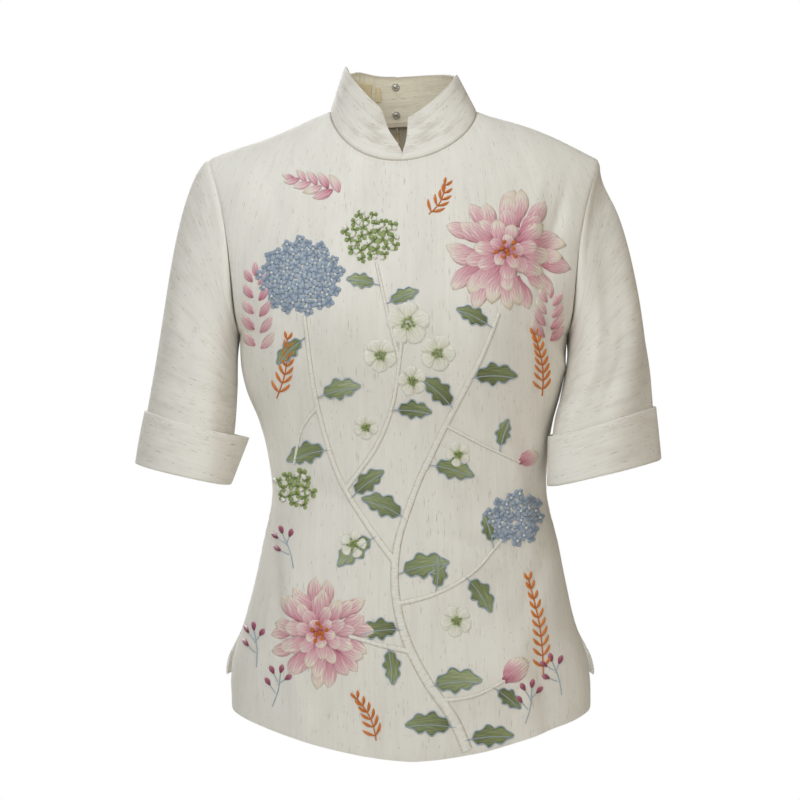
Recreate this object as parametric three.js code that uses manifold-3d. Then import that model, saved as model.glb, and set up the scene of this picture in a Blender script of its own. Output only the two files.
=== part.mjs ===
import * as THREE from "three";
import { mergeVertices } from "three/addons/utils/BufferGeometryUtils.js";
import Module from "manifold-3d";

// A woman's fitted top with a stand collar, elbow sleeves with turned-back cuffs and side slits,
// closed at the centre back. It keeps the hollow shape that it has when worn.
// Millimetres, +Z up. The wearer faces -Y, so the wearer's left is +X.
// The origin is the middle of the neck, level with the inner ends of the shoulder seams.

// Cloth walls and the space left between sewn pieces
const CLOTH = 1.5;
const COLLAR_CLOTH = 2.2;
const CUFF_CLOTH = 2;
const SEAM_GAP = 0.3;

// Body sections, from the underarm down and up. The centre moves sideways as the wearer stands.
const BODY = [
  { z: 20, halfWidth: 161, front: 102, back: 94, centre: 0, frontBow: 2.4, backBow: 2.4 },
  { z: -60, halfWidth: 161, front: 108, back: 103, centre: 0, frontBow: 2.4, backBow: 2.4 },
  { z: -140, halfWidth: 161, front: 117, back: 109, centre: 0, frontBow: 2.45, backBow: 2.4 },
  { z: -200, halfWidth: 161.5, front: 123, back: 107, centre: 0, frontBow: 2.55, backBow: 2.4 },
  { z: -250, halfWidth: 161, front: 121, back: 99, centre: 0, frontBow: 2.5, backBow: 2.4 },
  { z: -280, halfWidth: 156, front: 115, back: 92.5, centre: 0.5, frontBow: 2.45, backBow: 2.4 },
  { z: -310, halfWidth: 146, front: 107, back: 87, centre: 2.5, frontBow: 2.4, backBow: 2.4 },
  { z: -345, halfWidth: 139, front: 101, back: 83, centre: 4.5, frontBow: 2.35, backBow: 2.35 },
  { z: -385, halfWidth: 136.5, front: 99, back: 84, centre: 6, frontBow: 2.3, backBow: 2.3 },
  { z: -430, halfWidth: 146, front: 105, back: 94, centre: 7, frontBow: 2.3, backBow: 2.3 },
  { z: -475, halfWidth: 155, front: 112, back: 106, centre: 6.5, frontBow: 2.3, backBow: 2.3 },
  { z: -512, halfWidth: 164.5, front: 116, back: 113, centre: 6, frontBow: 2.35, backBow: 2.3 },
  { z: -550, halfWidth: 176, front: 119, back: 117, centre: 6.5, frontBow: 2.4, backBow: 2.35 },
  { z: -590, halfWidth: 176.5, front: 120, back: 119, centre: 7.5, frontBow: 2.4, backBow: 2.4 },
  { z: -640, halfWidth: 176, front: 120, back: 120, centre: 7.5, frontBow: 2.4, backBow: 2.4 },
];

const UNDERARM_Z = -225;
const SHOULDER_TIP = { x: 195, z: -50 };
const SHOULDER_Y = 3;
const SHOULDER_ROUNDING = 3; // how far the seam's outer end drops below a straight slope
const SHOULDER_TILT = 3.5; // the wearer's left shoulder stands this much higher halfway along
const NECK = {
  halfWidth: 73,
  sideZ: -2,
  tilt: 2,
  reach: 66,
  front: { drop: 55, shift: -1.6 },
  back: { drop: 5, shift: -6.3 },
};
const NECK_CURVE = 1.15; // roundness of the neckline towards the centre
const NECK_ANGLE = 25; // the body column, in degrees from the centre, that ends at the neck's side
const ARMHOLE_HOLLOW = 6.4;
const ARMHOLE_HOLLOW_SKEW = 1.35; // above 1, the hollow is deepest higher up
const ARMHOLE_SCOOP = 0.125; // share by which the chest is wider than the armhole
const ARMHOLE_SCOOP_RISE = 0.24;

// Profile from the underarm up over the shoulder: how soon it bends in and how square it stays
const PROFILE = {
  front: { bend: 1.7, square: 1.63 },
  back: { bend: 1.85, square: 3.6 },
  tip: { bend: 1.9, square: 1.9 },
};
const PROFILE_EASE = { from: 10, to: 170 }; // distances from the middle over which it turns into the tip's
// Swing of the columns away from the neck's side, where the neckline meets the shoulder seam
const NECK_CORNER = { reach: 42, width: 0.15 };

const HEM = {
  front: { cornerZ: -593, drop: 39 },
  back: { cornerZ: -567, drop: 39 },
};
const HEM_CURVE = 1.55;
const SEAM_EASE = { angle: 9, rise: 0.1 }; // the folds fade out this near to a seam
const SLIT_TOP_Z = -512;
const SLIT = {
  front: { part: 12, flare: 0 },
  back: { part: 22, flare: 8 },
};

const BUST = { x: 88, z: -212, radius: 50, reach: 7 };

// Largest folds of the body: where the middle of each lies, its half length and half width,
// its lean from the vertical in degrees, and how far it stands out (or in, below zero).
const BODY_FOLDS = [
  { face: "front", x: -114, z: -500, halfLength: 80, halfWidth: 17, lean: 9, depth: 4.5 },
  { face: "front", x: -80, z: -520, halfLength: 74, halfWidth: 18, lean: 14, depth: -3 },
  { face: "front", x: 138, z: -150, halfLength: 62, halfWidth: 16, lean: -6, depth: -4 },
  { face: "front", x: 92, z: -530, halfLength: 80, halfWidth: 24, lean: -38, depth: 3.5 },
  { face: "front", x: 52, z: -500, halfLength: 70, halfWidth: 22, lean: -42, depth: -2.5 },
  { face: "back", x: -78, z: -395, halfLength: 52, halfWidth: 20, lean: 70, depth: 3 },
  { face: "back", x: 74, z: -382, halfLength: 56, halfWidth: 20, lean: -68, depth: 3 },
  { face: "back", x: -98, z: -520, halfLength: 72, halfWidth: 22, lean: 8, depth: 4 },
  { face: "back", x: 92, z: -505, halfLength: 80, halfWidth: 24, lean: -6, depth: 4 },
];

// Sleeves below the armhole: the middle of each section, its half width and half depth, how far it
// turns its front inwards in degrees, and how much higher its outer side is.
const SLEEVES = [
  {
    name: "left",
    side: 1,
    leavesAtTip: -38,
    sections: [
      { z: -262, x: 198.5, y: -24, halfWidth: 39.5, halfDepth: 60, turn: 20, rise: 0.45 },
      { z: -306, x: 195.5, y: -38, halfWidth: 42, halfDepth: 59, turn: 40, rise: 0.3 },
      { z: -361, x: 196.5, y: -49, halfWidth: 44, halfDepth: 60, turn: 50, rise: 0.235 },
    ],
  },
  {
    name: "right",
    side: -1,
    leavesAtTip: -8,
    sections: [
      { z: -262, x: 205, y: -12, halfWidth: 39, halfDepth: 58, turn: 14, rise: 0.45 },
      { z: -306, x: 210, y: -19, halfWidth: 41, halfDepth: 57, turn: 20, rise: 0.3 },
      { z: -363, x: 217.5, y: -28, halfWidth: 42, halfDepth: 56, turn: 26, rise: 0.225 },
    ],
  },
];
const SLEEVE_UNDERARM = { leavesAt: 158, ease: 2.2 }; // degrees from the body's surface
const SLEEVE_HEAD_PULL = { start: 0.5, end: 0.8 };
const HEAD_SHARE = 0.62; // of the sleeve's length, from the armhole to the bicep

// Dents across a sleeve's head: place round the sleeve, half width in degrees, share of the
// sleeve's length and half length, and depth.
const SLEEVE_DENTS = [
  { side: 1, at: 0, halfWidth: 48, length: 0.1, halfLength: 0.08, depth: -5 },
];

// Lengthwise sleeve folds: their place round the sleeve in degrees from its outer side by the
// front, half width in degrees, first and last share of the sleeve's length, and depth.
const SLEEVE_FOLDS = [
  { side: 1, at: 64, halfWidth: 24, from: 0.12, to: 1.0, depth: -4 },
  { side: 1, at: 26, halfWidth: 22, from: 0.1, to: 0.95, depth: 3 },
  { side: 1, at: 250, halfWidth: 26, from: 0.25, to: 0.95, depth: -3 },
  { side: -1, at: 128, halfWidth: 24, from: 0.4, to: 1.0, depth: -2.5 },
  { side: -1, at: 245, halfWidth: 26, from: 0.25, to: 0.9, depth: -3 },
];

const CUFF = { height: 50, bottomStandOff: 0.9, turnUp: 7 };
// The cuff's wall between its fold and its edge: shares of its height and of how far it stands off
const CUFF_STEPS = [
  { up: 0.36, off: 0.4 },
  { up: 0.7, off: 0.8 },
];
const CUFF_FOLD = { outside: 0.8, under: 0.4, inside: 0.7 }; // corners of the fold, in cloth thicknesses
const CUFF_STAND_OFF = { left: { outer: 0.9, inner: 3 }, right: { outer: 0.6, inner: 14 } };

const COLLAR = { height: 47, frontHeight: 6, endGap: 0.5, backLean: 12, sway: -1 };
// Each half's lean towards the neck, the width and roundness of its front corner, and where its
// upper edge stands higher or lower than the other half's, by column
const COLLAR_HALVES = {
  left: { side: 1, lean: 27, corner: 27, cornerRound: 1.15, rise: { by: -6, at: 8, width: 3.5 } },
  right: { side: -1, lean: 19, corner: 60, cornerRound: 1.6, rise: { by: 5, at: 12.3, width: 2.4 } },
};

const ZIP = { endZ: -402, topZ: -10, tapeWidth: 12, tape: 0.8, halfGap: 0.15, coilRoom: 0.9 };
const TAPE_ANGLE = 4.6; // the body column, in degrees from the centre, under a tape's outer edge
const OPENING_FADE = 8; // the higher, the narrower the strip beside the zip that moves with its edge
const ZIP_MOUTH = { halfGap: 1.3, bottomZ: -49, ease: 9 }; // where the edges part above the slider
const SLIDER = { z: -34, width: 6, length: 9, plate: 1.4, neckWidth: 1.6, bodyWidth: 8, body: 2.2 };
const SLIDER_CLEAR = { outside: 1.35, inside: 2.75 }; // from the middle of the cloth
const BRIDGE = { width: 1.4, halfSpan: 0.95, post: 0.9, clear: 0.25, roof: 0.8 };
const PULL = { halfWidth: 2.5, length: 21, thickness: 1, arm: 1.15, eye: 2.9, tip: 0.6 };

const SNAP = { radius: 4, thickness: 1.7, aside: 1, clearance: 0.3, heights: [37.5, 9] };
const PATCH_GAP = 0.45;
const LABEL = { name: "neck_label", from: 11.8, to: 13.95, low: 15, high: 41, thickness: 0.8 };
const SIZE_TAB = { name: "size_tab", from: 14.4, to: 14.85, low: 23, high: 37.5, thickness: 0.8 };

// Mesh steps
const NECK_COLUMNS = 8;
const SHOULDER_COLUMNS = 10;
const LOWER_ROWS = 17;
const UPPER_ROWS = [0, 0.03, 0.08, 0.15, 0.24, 0.34, 0.44, 0.54, 0.64, 0.73, 0.81, 0.88, 0.94, 0.98, 1];
const HEAD_ROWS = [0, 0.05, 0.12, 0.22, 0.36, 0.52, 0.68, 0.84, 1];
const ARM_ROWS = 5;
const COLLAR_ROWS = 4;
const ZIP_ROWS = 22;
const PATCH_COLUMNS = 4;
const COLLAR_FRONT_COLUMNS = [0, 0.1, 0.25, 0.45, 0.7, 1, 1.5, 2];
const PULL_POINTS = 8;
const SNAP_SIDES = 16;
const NUDGE = 0.002; // step for measuring a surface's slope
const SEAM_STEP = { angle: 0.4, rise: 0.001 }; // how far in from a panel's edge its slope is taken

const LINEN = { color: 0xdedbcd, roughness: 0.85, metalness: 0 };
const LINING = { color: 0xdccfb2, roughness: 0.8, metalness: 0 };
const METAL = { color: 0xa8a59a, roughness: 0.3, metalness: 0.9 };

const { degToRad, lerp, clamp, smoothstep } = THREE.MathUtils;
const vec = (x, y, z) => new THREE.Vector3(x, y, z);

// A smooth curve through one named column of a table whose z falls from row to row.
function columnAt(table, name, z) {
  const last = table.length - 1;
  let row = 0;
  while (row < last - 1 && table[row + 1].z > z) row += 1;
  const slope = (i) => {
    const above = table[Math.max(i - 1, 0)];
    const below = table[Math.min(i + 1, last)];
    return (below[name] - above[name]) / (below.z - above.z);
  };
  const step = table[row + 1].z - table[row].z;
  const t = clamp((z - table[row].z) / step, 0, 1);
  const [t2, t3] = [t * t, t * t * t];
  return (
    (2 * t3 - 3 * t2 + 1) * table[row][name] +
    (t3 - 2 * t2 + t) * step * slope(row) +
    (3 * t2 - 2 * t3) * table[row + 1][name] +
    (t3 - t2) * step * slope(row + 1)
  );
}

const superEllipse = (share, bow) => Math.pow(Math.max(0, 1 - Math.pow(Math.abs(share), bow)), 1 / bow);
const bump = (distance) => Math.exp(-distance * distance);
const outwardY = (face) => (face === "front" ? -1 : 1);
const NECK_SHARE = Math.sin(degToRad(NECK_ANGLE));

// Height of the shoulder seam, and between the neck's sides of the dome that would join the two.
function shoulderZ(x) {
  const run = SHOULDER_TIP.x - NECK.halfWidth;
  const slope = (SHOULDER_TIP.z + SHOULDER_ROUNDING - NECK.sideZ) / run;
  const out = (Math.abs(x) - NECK.halfWidth) / run;
  if (out < 0) {
    return NECK.sideZ - (slope * NECK.halfWidth * (1 - (x / NECK.halfWidth) ** 2)) / 2;
  }
  const tilt = Math.sign(x) * SHOULDER_TILT * Math.sin(Math.PI * Math.min(out, 1)) ** 2;
  return NECK.sideZ + slope * run * out - SHOULDER_ROUNDING * Math.pow(out, 4) + tilt;
}

// Where a body column ends: on the neckline near the centre, on the shoulder seam beyond it.
function topEdge(face, angle) {
  const share = Math.sin(degToRad(angle));
  const across = Math.abs(share);
  const hand = Math.sign(share);
  if (across <= NECK_SHARE) {
    const turn = (across / NECK_SHARE) * (Math.PI / 2);
    const { drop, shift } = NECK[face];
    const fall = Math.pow(Math.max(0, Math.cos(turn)), NECK_CURVE);
    const x = hand * NECK.halfWidth * Math.sin(turn);
    const z = NECK.sideZ - drop * fall + hand * NECK.tilt * Math.sin(2 * turn);
    return vec(x + shift * Math.cos(turn) ** 2, shoulderForm(face, x, z), z);
  }
  const out = (across - NECK_SHARE) / (1 - NECK_SHARE);
  const x = hand * lerp(NECK.halfWidth, SHOULDER_TIP.x, out);
  return vec(x, SHOULDER_Y, shoulderZ(x));
}

const hemZ = (face, angle) =>
  HEM[face].cornerZ - HEM[face].drop * (1 - Math.pow(Math.abs(Math.sin(degToRad(angle))), HEM_CURVE));

const bodyCentre = (z) => columnAt(BODY, "centre", z);

// A smooth point of the front or back. rise is -1 at the hem, 0 at the underarm, 1 at the top edge.
function bodyForm(face, angle, rise) {
  const share = Math.sin(degToRad(angle));
  const across = Math.abs(share);
  const dir = outwardY(face);
  const seam = (dir * SEAM_GAP) / 2;
  if (rise <= 0) {
    const z = lerp(UNDERARM_Z, hemZ(face, angle), -rise);
    const half = columnAt(BODY, "halfWidth", z);
    const depth = columnAt(BODY, face, z) * superEllipse(share, columnAt(BODY, face + "Bow", z));
    const open = smoothstep(SLIT_TOP_Z - z, 0, SLIT_TOP_Z - HEM[face].cornerZ) * Math.pow(across, 8);
    return vec(
      bodyCentre(z) + half * share + Math.sign(share) * SLIT[face].flare * open,
      seam + dir * (depth + SLIT[face].part * open),
      z,
    );
  }
  const top = topEdge(face, angle);
  const underarm = columnAt(BODY, "halfWidth", UNDERARM_Z);
  const z = lerp(UNDERARM_Z, top.z, rise);
  const inwards = Math.sign(share) * armholeHollow(rise) * Math.pow(across, 4);
  const swing = bump((across - NECK_SHARE) / NECK_CORNER.width) * Math.sqrt(1 - rise) * rise ** 2;
  const x = lerp(underarm * share, top.x, rise) - inwards + Math.sign(share) * NECK_CORNER.reach * swing;
  return vec(x + bodyCentre(z), seam + shoulderForm(face, x, z), z);
}

const armholeHollow = (rise) => ARMHOLE_HOLLOW * Math.sin(Math.PI * Math.pow(clamp(rise, 0, 1), ARMHOLE_HOLLOW_SKEW));

// Depth of the body above the underarm, at a distance from the middle and a height.
function shoulderForm(face, x, z) {
  const up = Math.max(0, (z - UNDERARM_Z) / (SHOULDER_TIP.z - UNDERARM_Z));
  const underarm = columnAt(BODY, "halfWidth", UNDERARM_Z);
  const armholeX = lerp(underarm, SHOULDER_TIP.x, Math.min(up, 1)) - armholeHollow(up);
  const nearEdge = Math.pow(Math.min(1, Math.abs(x) / armholeX), 4);
  const scoop = ARMHOLE_SCOOP * (1 - Math.exp(-up / ARMHOLE_SCOOP_RISE)) * nearEdge;
  const share = x / (armholeX * (1 + scoop));
  const depth = columnAt(BODY, face, z) * superEllipse(share, columnAt(BODY, face + "Bow", z));
  const outer = smoothstep(Math.abs(x), PROFILE_EASE.from, PROFILE_EASE.to);
  const bend = lerp(PROFILE[face].bend, PROFILE.tip.bend, outer);
  const square = lerp(PROFILE[face].square, PROFILE.tip.square, outer);
  const climb = clamp((z - UNDERARM_Z) / (shoulderZ(x) - UNDERARM_Z), 0, 1);
  const close = Math.pow(Math.max(0, 1 - Math.pow(climb, bend)), 1 / square);
  const seamY = SHOULDER_Y * smoothstep(climb, 0, 1);
  return lerp(seamY, outwardY(face) * depth, close);
}

// How far the bust and the folds move a point out of the smooth form.
function bodyRelief(face, p) {
  const x = p.x - bodyCentre(p.z);
  let out = 0;
  if (face === "front") {
    const up = (p.z - BUST.z) / BUST.radius;
    out += BUST.reach * bump(up) * bump((Math.abs(x) - BUST.x) / BUST.radius);
  }
  for (const fold of BODY_FOLDS.filter((f) => f.face === face)) {
    const lean = degToRad(fold.lean);
    const [dx, dz] = [x - fold.x, p.z - fold.z];
    const along = -dx * Math.sin(lean) + dz * Math.cos(lean);
    const aside = dx * Math.cos(lean) + dz * Math.sin(lean);
    out += fold.depth * bump(aside / fold.halfWidth) * bump(along / fold.halfLength);
  }
  return out;
}

function bodyNormal(face, angle, rise) {
  const flip = Math.abs(angle) >= 90 ? Math.sign(angle) * NUDGE : 0;
  const below = Math.max(rise - NUDGE, -1);
  const above = Math.min(rise + NUDGE, 1);
  const before = bodyForm(face, angle - flip - NUDGE, rise);
  const across = bodyForm(face, angle - flip + NUDGE, rise).sub(before);
  const up = bodyForm(face, angle, above).sub(bodyForm(face, angle, below));
  const normal = across.cross(up).normalize();
  return face === "front" ? normal : normal.negate();
}

// The panel's seam edges keep a level normal, so that the neighbouring wall ends in the same plane.
function bodyWallNormal(face, angle, rise) {
  const edge = Math.abs(angle) >= 90 - 1e-6;
  if (rise >= 1 && Math.abs(angle) > NECK_ANGLE - 1e-6) {
    const { x } = topEdge(face, angle);
    const out = Math.sign(x) * NUDGE;
    return vec((shoulderZ(x) - shoulderZ(x + out)) / out, 0, 1).normalize();
  }
  const near = edge ? Math.sign(angle) * (90 - SEAM_STEP.angle) : angle;
  const normal = bodyNormal(face, near, Math.min(rise, 1 - SEAM_STEP.rise));
  if (edge && rise <= 0 && bodyForm(face, angle, rise).z >= SLIT_TOP_Z) normal.y = 0;
  return normal.normalize();
}

function bodyPoint(face, angle, rise) {
  const p = bodyForm(face, angle, rise);
  const side = smoothstep(90 - Math.abs(angle), 0, SEAM_EASE.angle);
  const edge = side * smoothstep(1 - rise, 0, SEAM_EASE.rise);
  return p.addScaledVector(bodyNormal(face, angle, rise), bodyRelief(face, p) * edge);
}

// The two back panels meet at the centre, and part a little where the zip is open at the neck.
function backOpening(z) {
  const open = smoothstep(z, ZIP_MOUTH.bottomZ, ZIP_MOUTH.bottomZ + ZIP_MOUTH.ease);
  return lerp(ZIP.halfGap, ZIP_MOUTH.halfGap, open);
}

// A closed wall round a grid of middle points: half its thickness to each side of them.
function wall(points, normals, thickness, around = false) {
  const rows = points.length;
  const columns = points[0].length;
  const positions = [];
  for (const side of [0.5, -0.5]) {
    points.forEach((row, i) =>
      row.forEach((p, j) => {
        positions.push(...p.clone().addScaledVector(normals[i][j], side * thickness).toArray());
      }),
    );
  }
  const inner = rows * columns;
  const id = (i, j, offset = 0) => offset + i * columns + (j % columns);
  const faces = [];
  const quad = (a, b, c, d) => faces.push(a, b, c, a, c, d);
  const lastColumn = around ? columns : columns - 1;
  for (let i = 0; i < rows - 1; i += 1) {
    for (let j = 0; j < lastColumn; j += 1) {
      quad(id(i, j), id(i, j + 1), id(i + 1, j + 1), id(i + 1, j));
      quad(id(i, j, inner), id(i + 1, j, inner), id(i + 1, j + 1, inner), id(i, j + 1, inner));
    }
  }
  for (let j = 0; j < lastColumn; j += 1) {
    const top = rows - 1;
    quad(id(0, j, inner), id(0, j + 1, inner), id(0, j + 1), id(0, j));
    quad(id(top, j), id(top, j + 1), id(top, j + 1, inner), id(top, j, inner));
  }
  if (!around) {
    const end = columns - 1;
    for (let i = 0; i < rows - 1; i += 1) {
      quad(id(i, 0), id(i + 1, 0), id(i + 1, 0, inner), id(i, 0, inner));
      quad(id(i, end, inner), id(i + 1, end, inner), id(i + 1, end), id(i, end));
    }
  }
  return closedGeometry(positions, faces);
}

// An indexed geometry, turned so that its faces point out.
function closedGeometry(positions, faces) {
  let volume = 0;
  const at = (i) => vec(positions[3 * i], positions[3 * i + 1], positions[3 * i + 2]);
  for (let i = 0; i < faces.length; i += 3) {
    volume += at(faces[i]).dot(at(faces[i + 1]).cross(at(faces[i + 2])));
  }
  const ordered = volume >= 0 ? faces : [...faces].reverse();
  const geometry = new THREE.BufferGeometry();
  geometry.setAttribute("position", new THREE.Float32BufferAttribute(positions, 3));
  geometry.setIndex(ordered);
  geometry.computeVertexNormals();
  return geometry;
}

// Normals of a free grid, from its own points.
function gridNormals(points, around = false) {
  const rows = points.length;
  const columns = points[0].length;
  return points.map((row, i) =>
    row.map((_, j) => {
      const before = around ? (j + columns - 1) % columns : Math.max(j - 1, 0);
      const after = around ? (j + 1) % columns : Math.min(j + 1, columns - 1);
      const across = points[i][after].clone().sub(points[i][before]);
      const up = points[Math.min(i + 1, rows - 1)][j].clone().sub(points[Math.max(i - 1, 0)][j]);
      return across.cross(up).normalize();
    }),
  );
}

function halfAngles() {
  const angles = [];
  for (let i = 0; i <= NECK_COLUMNS; i += 1) {
    const share = NECK_SHARE * (i / NECK_COLUMNS);
    angles.push((Math.asin(share) * 180) / Math.PI);
  }
  for (let i = 1; i <= SHOULDER_COLUMNS; i += 1) {
    angles.push(lerp(NECK_ANGLE, 90, i / SHOULDER_COLUMNS));
  }
  return angles;
}

const RISES = [
  ...Array.from({ length: LOWER_ROWS }, (_, i) => -1 + i / LOWER_ROWS),
  ...UPPER_ROWS,
];

function bodyPanel(face, angles, openEdge = 0) {
  const points = RISES.map((rise) => angles.map((angle) => bodyPoint(face, angle, rise)));
  const normals = RISES.map((rise) => angles.map((angle) => bodyWallNormal(face, angle, rise)));
  if (openEdge) {
    const column = openEdge > 0 ? 0 : angles.length - 1;
    points.forEach((row) => {
      const parted = openEdge * backOpening(row[column].z);
      row.forEach((p, j) => {
        const fade = Math.pow(1 - Math.abs(j - column) / (angles.length - 1), OPENING_FADE);
        p.x += parted * fade;
      });
    });
  }
  return wall(points, normals, CLOTH);
}

// Where the next piece's wall starts, so that it clears the edge of the wall that it is sewn to.
// turn is the angle between the first wall's own direction and the second one's.
function seamStart(edge, thickness) {
  const turn = Math.atan2(edge.leaves.dot(edge.normal), edge.leaves.dot(edge.along));
  const beside = Math.sin(turn / 2) ** 2 * Math.sign(turn);
  return edge.point
    .clone()
    .addScaledVector(edge.along, SEAM_GAP + (thickness / 2) * Math.abs(Math.sin(turn)))
    .addScaledVector(edge.normal, beside * (thickness + SEAM_GAP));
}

// The armhole's edge, from the shoulder tip down the front to the underarm and up the back.
function armholeEdge(sleeve) {
  const { side } = sleeve;
  const frames = [];
  const add = (face, rise) => {
    const angle = side * 90;
    const point = bodyPoint(face, angle, rise);
    const normal = bodyWallNormal(face, angle, rise);
    const next = bodyPoint(face, angle, Math.min(rise + NUDGE, 1));
    const last = bodyPoint(face, angle, Math.max(rise - NUDGE, 0));
    const run = next.sub(last).normalize();
    const along = run.cross(normal).normalize();
    const inPanel = bodyPoint(face, side * 86, rise).sub(point);
    if (along.dot(inPanel) > 0) along.negate();
    frames.push({ rise, point, normal, along });
  };
  [...UPPER_ROWS].reverse().forEach((rise) => add("front", rise));
  UPPER_ROWS.slice(1, -1).forEach((rise) => add("back", rise));
  const tip = frames[0];
  tip.normal.setY(0).normalize();
  tip.along = vec(tip.normal.z * side, 0, -tip.normal.x * side).normalize();
  tip.point.y = SHOULDER_Y;
  const underarm = frames[UPPER_ROWS.length - 1];
  underarm.normal = vec(side, 0, 0);
  underarm.along = vec(0, 0, 1);
  underarm.point.y = 0;
  let length = 0;
  frames.forEach((frame, i) => {
    length += i ? frame.point.distanceTo(frames[i - 1].point) : 0;
    frame.walked = length;
  });
  const front = underarm.walked;
  const whole = length + frames[frames.length - 1].point.distanceTo(tip.point);
  frames.forEach((frame) => {
    const { walked } = frame;
    const back = 180 + (180 * (walked - front)) / (whole - front);
    frame.angle = walked <= front ? (180 * walked) / front : back;
    const low = Math.pow(1 - frame.rise, SLEEVE_UNDERARM.ease);
    const leave = degToRad(lerp(sleeve.leavesAtTip, SLEEVE_UNDERARM.leavesAt, low));
    frame.leaves = frame.along
      .clone()
      .multiplyScalar(Math.cos(leave))
      .addScaledVector(frame.normal, Math.sin(leave));
  });
  return frames;
}

// A point of the sleeve's lower tube. down is 0 at the bicep and 1 at the hem; round is in degrees
// from the outer side, by the front.
function tubePoint(sleeve, round, down) {
  const { sections, side } = sleeve;
  const z = lerp(sections[0].z, sections[sections.length - 1].z, down);
  const at = (name) => columnAt(sections, name, z);
  const turn = degToRad(at("turn"));
  const a = degToRad(round);
  const out = at("halfWidth") * Math.cos(a);
  const forward = at("halfDepth") * Math.sin(a);
  const x = out * Math.cos(turn) - forward * Math.sin(turn);
  const y = -(forward * Math.cos(turn) + out * Math.sin(turn));
  return vec(side * (at("x") + x), at("y") + y, z + x * at("rise"));
}

const angleBetween = (a, b) => Math.abs(((((a - b) % 360) + 540) % 360) - 180);

// How far a fold moves a sleeve point; length is 0 at the armhole and 1 at the hem.
function sleeveRelief(sleeve, round, length) {
  let out = 0;
  for (const fold of SLEEVE_FOLDS.filter((f) => f.side === sleeve.side)) {
    const starts = smoothstep(length, fold.from, fold.from + 0.25);
    const ends = 1 - smoothstep(length, fold.to - 0.15, fold.to + 0.12);
    out += fold.depth * starts * ends * bump(angleBetween(round, fold.at) / fold.halfWidth);
  }
  for (const dent of SLEEVE_DENTS.filter((d) => d.side === sleeve.side)) {
    const along = bump((length - dent.length) / dent.halfLength);
    out += dent.depth * along * bump(angleBetween(round, dent.at) / dent.halfWidth);
  }
  return out;
}

// The sleeve's middle points: the head from the armhole to the bicep, then the tube to the hem.
function sleeveGrid(sleeve, hemCut) {
  const edge = armholeEdge(sleeve);
  const head = HEAD_ROWS.map((t) =>
    edge.map((frame) => {
      const start = seamStart(frame, CLOTH);
      const end = tubePoint(sleeve, frame.angle, 0);
      const reach = end.distanceTo(start);
      const down = tubePoint(sleeve, frame.angle, 0.1).sub(end).normalize();
      const [t2, t3] = [t * t, t * t * t];
      return start
        .multiplyScalar(2 * t3 - 3 * t2 + 1)
        .addScaledVector(frame.leaves, (t3 - 2 * t2 + t) * reach * SLEEVE_HEAD_PULL.start)
        .addScaledVector(end, 3 * t2 - 2 * t3)
        .addScaledVector(down, (t3 - t2) * reach * SLEEVE_HEAD_PULL.end);
    }),
  );
  const arm = Array.from({ length: ARM_ROWS }, (_, i) =>
    edge.map((frame) => tubePoint(sleeve, frame.angle, (hemCut * (i + 1)) / ARM_ROWS)),
  );
  const points = [...head, ...arm];
  const normals = gridNormals(points, true).map((row) =>
    row.map((normal) => normal.multiplyScalar(sleeve.side)),
  );
  points.forEach((row, i) =>
    row.forEach((p, j) => {
      const inHead = i < head.length;
      const reached = inHead ? HEAD_ROWS[i] : (i - head.length + 1) / ARM_ROWS;
      const length = inHead ? reached * HEAD_SHARE : lerp(HEAD_SHARE, 1, reached);
      p.addScaledVector(normals[i][j], sleeveRelief(sleeve, edge[j].angle, length));
    }),
  );
  normals[0] = edge.map(({ along, normal, leaves }) =>
    along.clone().cross(normal).cross(leaves).normalize(),
  );
  normals[0].forEach((normal, j) => {
    if (normal.dot(normals[1][j]) < 0) normal.negate();
  });
  return { points, normals, angles: edge.map((frame) => frame.angle) };
}

// The cuff's section, sewn to the sleeve's end: it turns up inside a little, passes under the end
// and stands round the outside. Each point is a distance out from the sleeve's middle and a height.
function cuffSection(name, inside) {
  const half = CLOTH / 2 + SEAM_GAP;
  const standOff = lerp(CUFF_STAND_OFF[name].outer, CUFF_STAND_OFF[name].inner, inside);
  const low = half + CUFF.bottomStandOff;
  const high = half + standOff;
  const { height, turnUp } = CUFF;
  const steps = CUFF_STEPS.map(({ up, off }) => [lerp(low, high, off), height * up]);
  const outside = steps.map(([out, up]) => [out + CUFF_CLOTH, up]).reverse();
  return [
    [-half, turnUp],
    [-half, CUFF_CLOTH],
    [low, CUFF_CLOTH],
    ...steps,
    [high, height],
    [high + CUFF_CLOTH, height],
    ...outside,
    [low + CUFF_CLOTH, CUFF_CLOTH * CUFF_FOLD.outside],
    [low + CUFF_CLOTH * CUFF_FOLD.under, 0],
    [-half, 0],
    [-half - CLOTH, CUFF_CLOTH * CUFF_FOLD.inside],
    [-half - CLOTH, turnUp],
  ];
}

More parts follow.
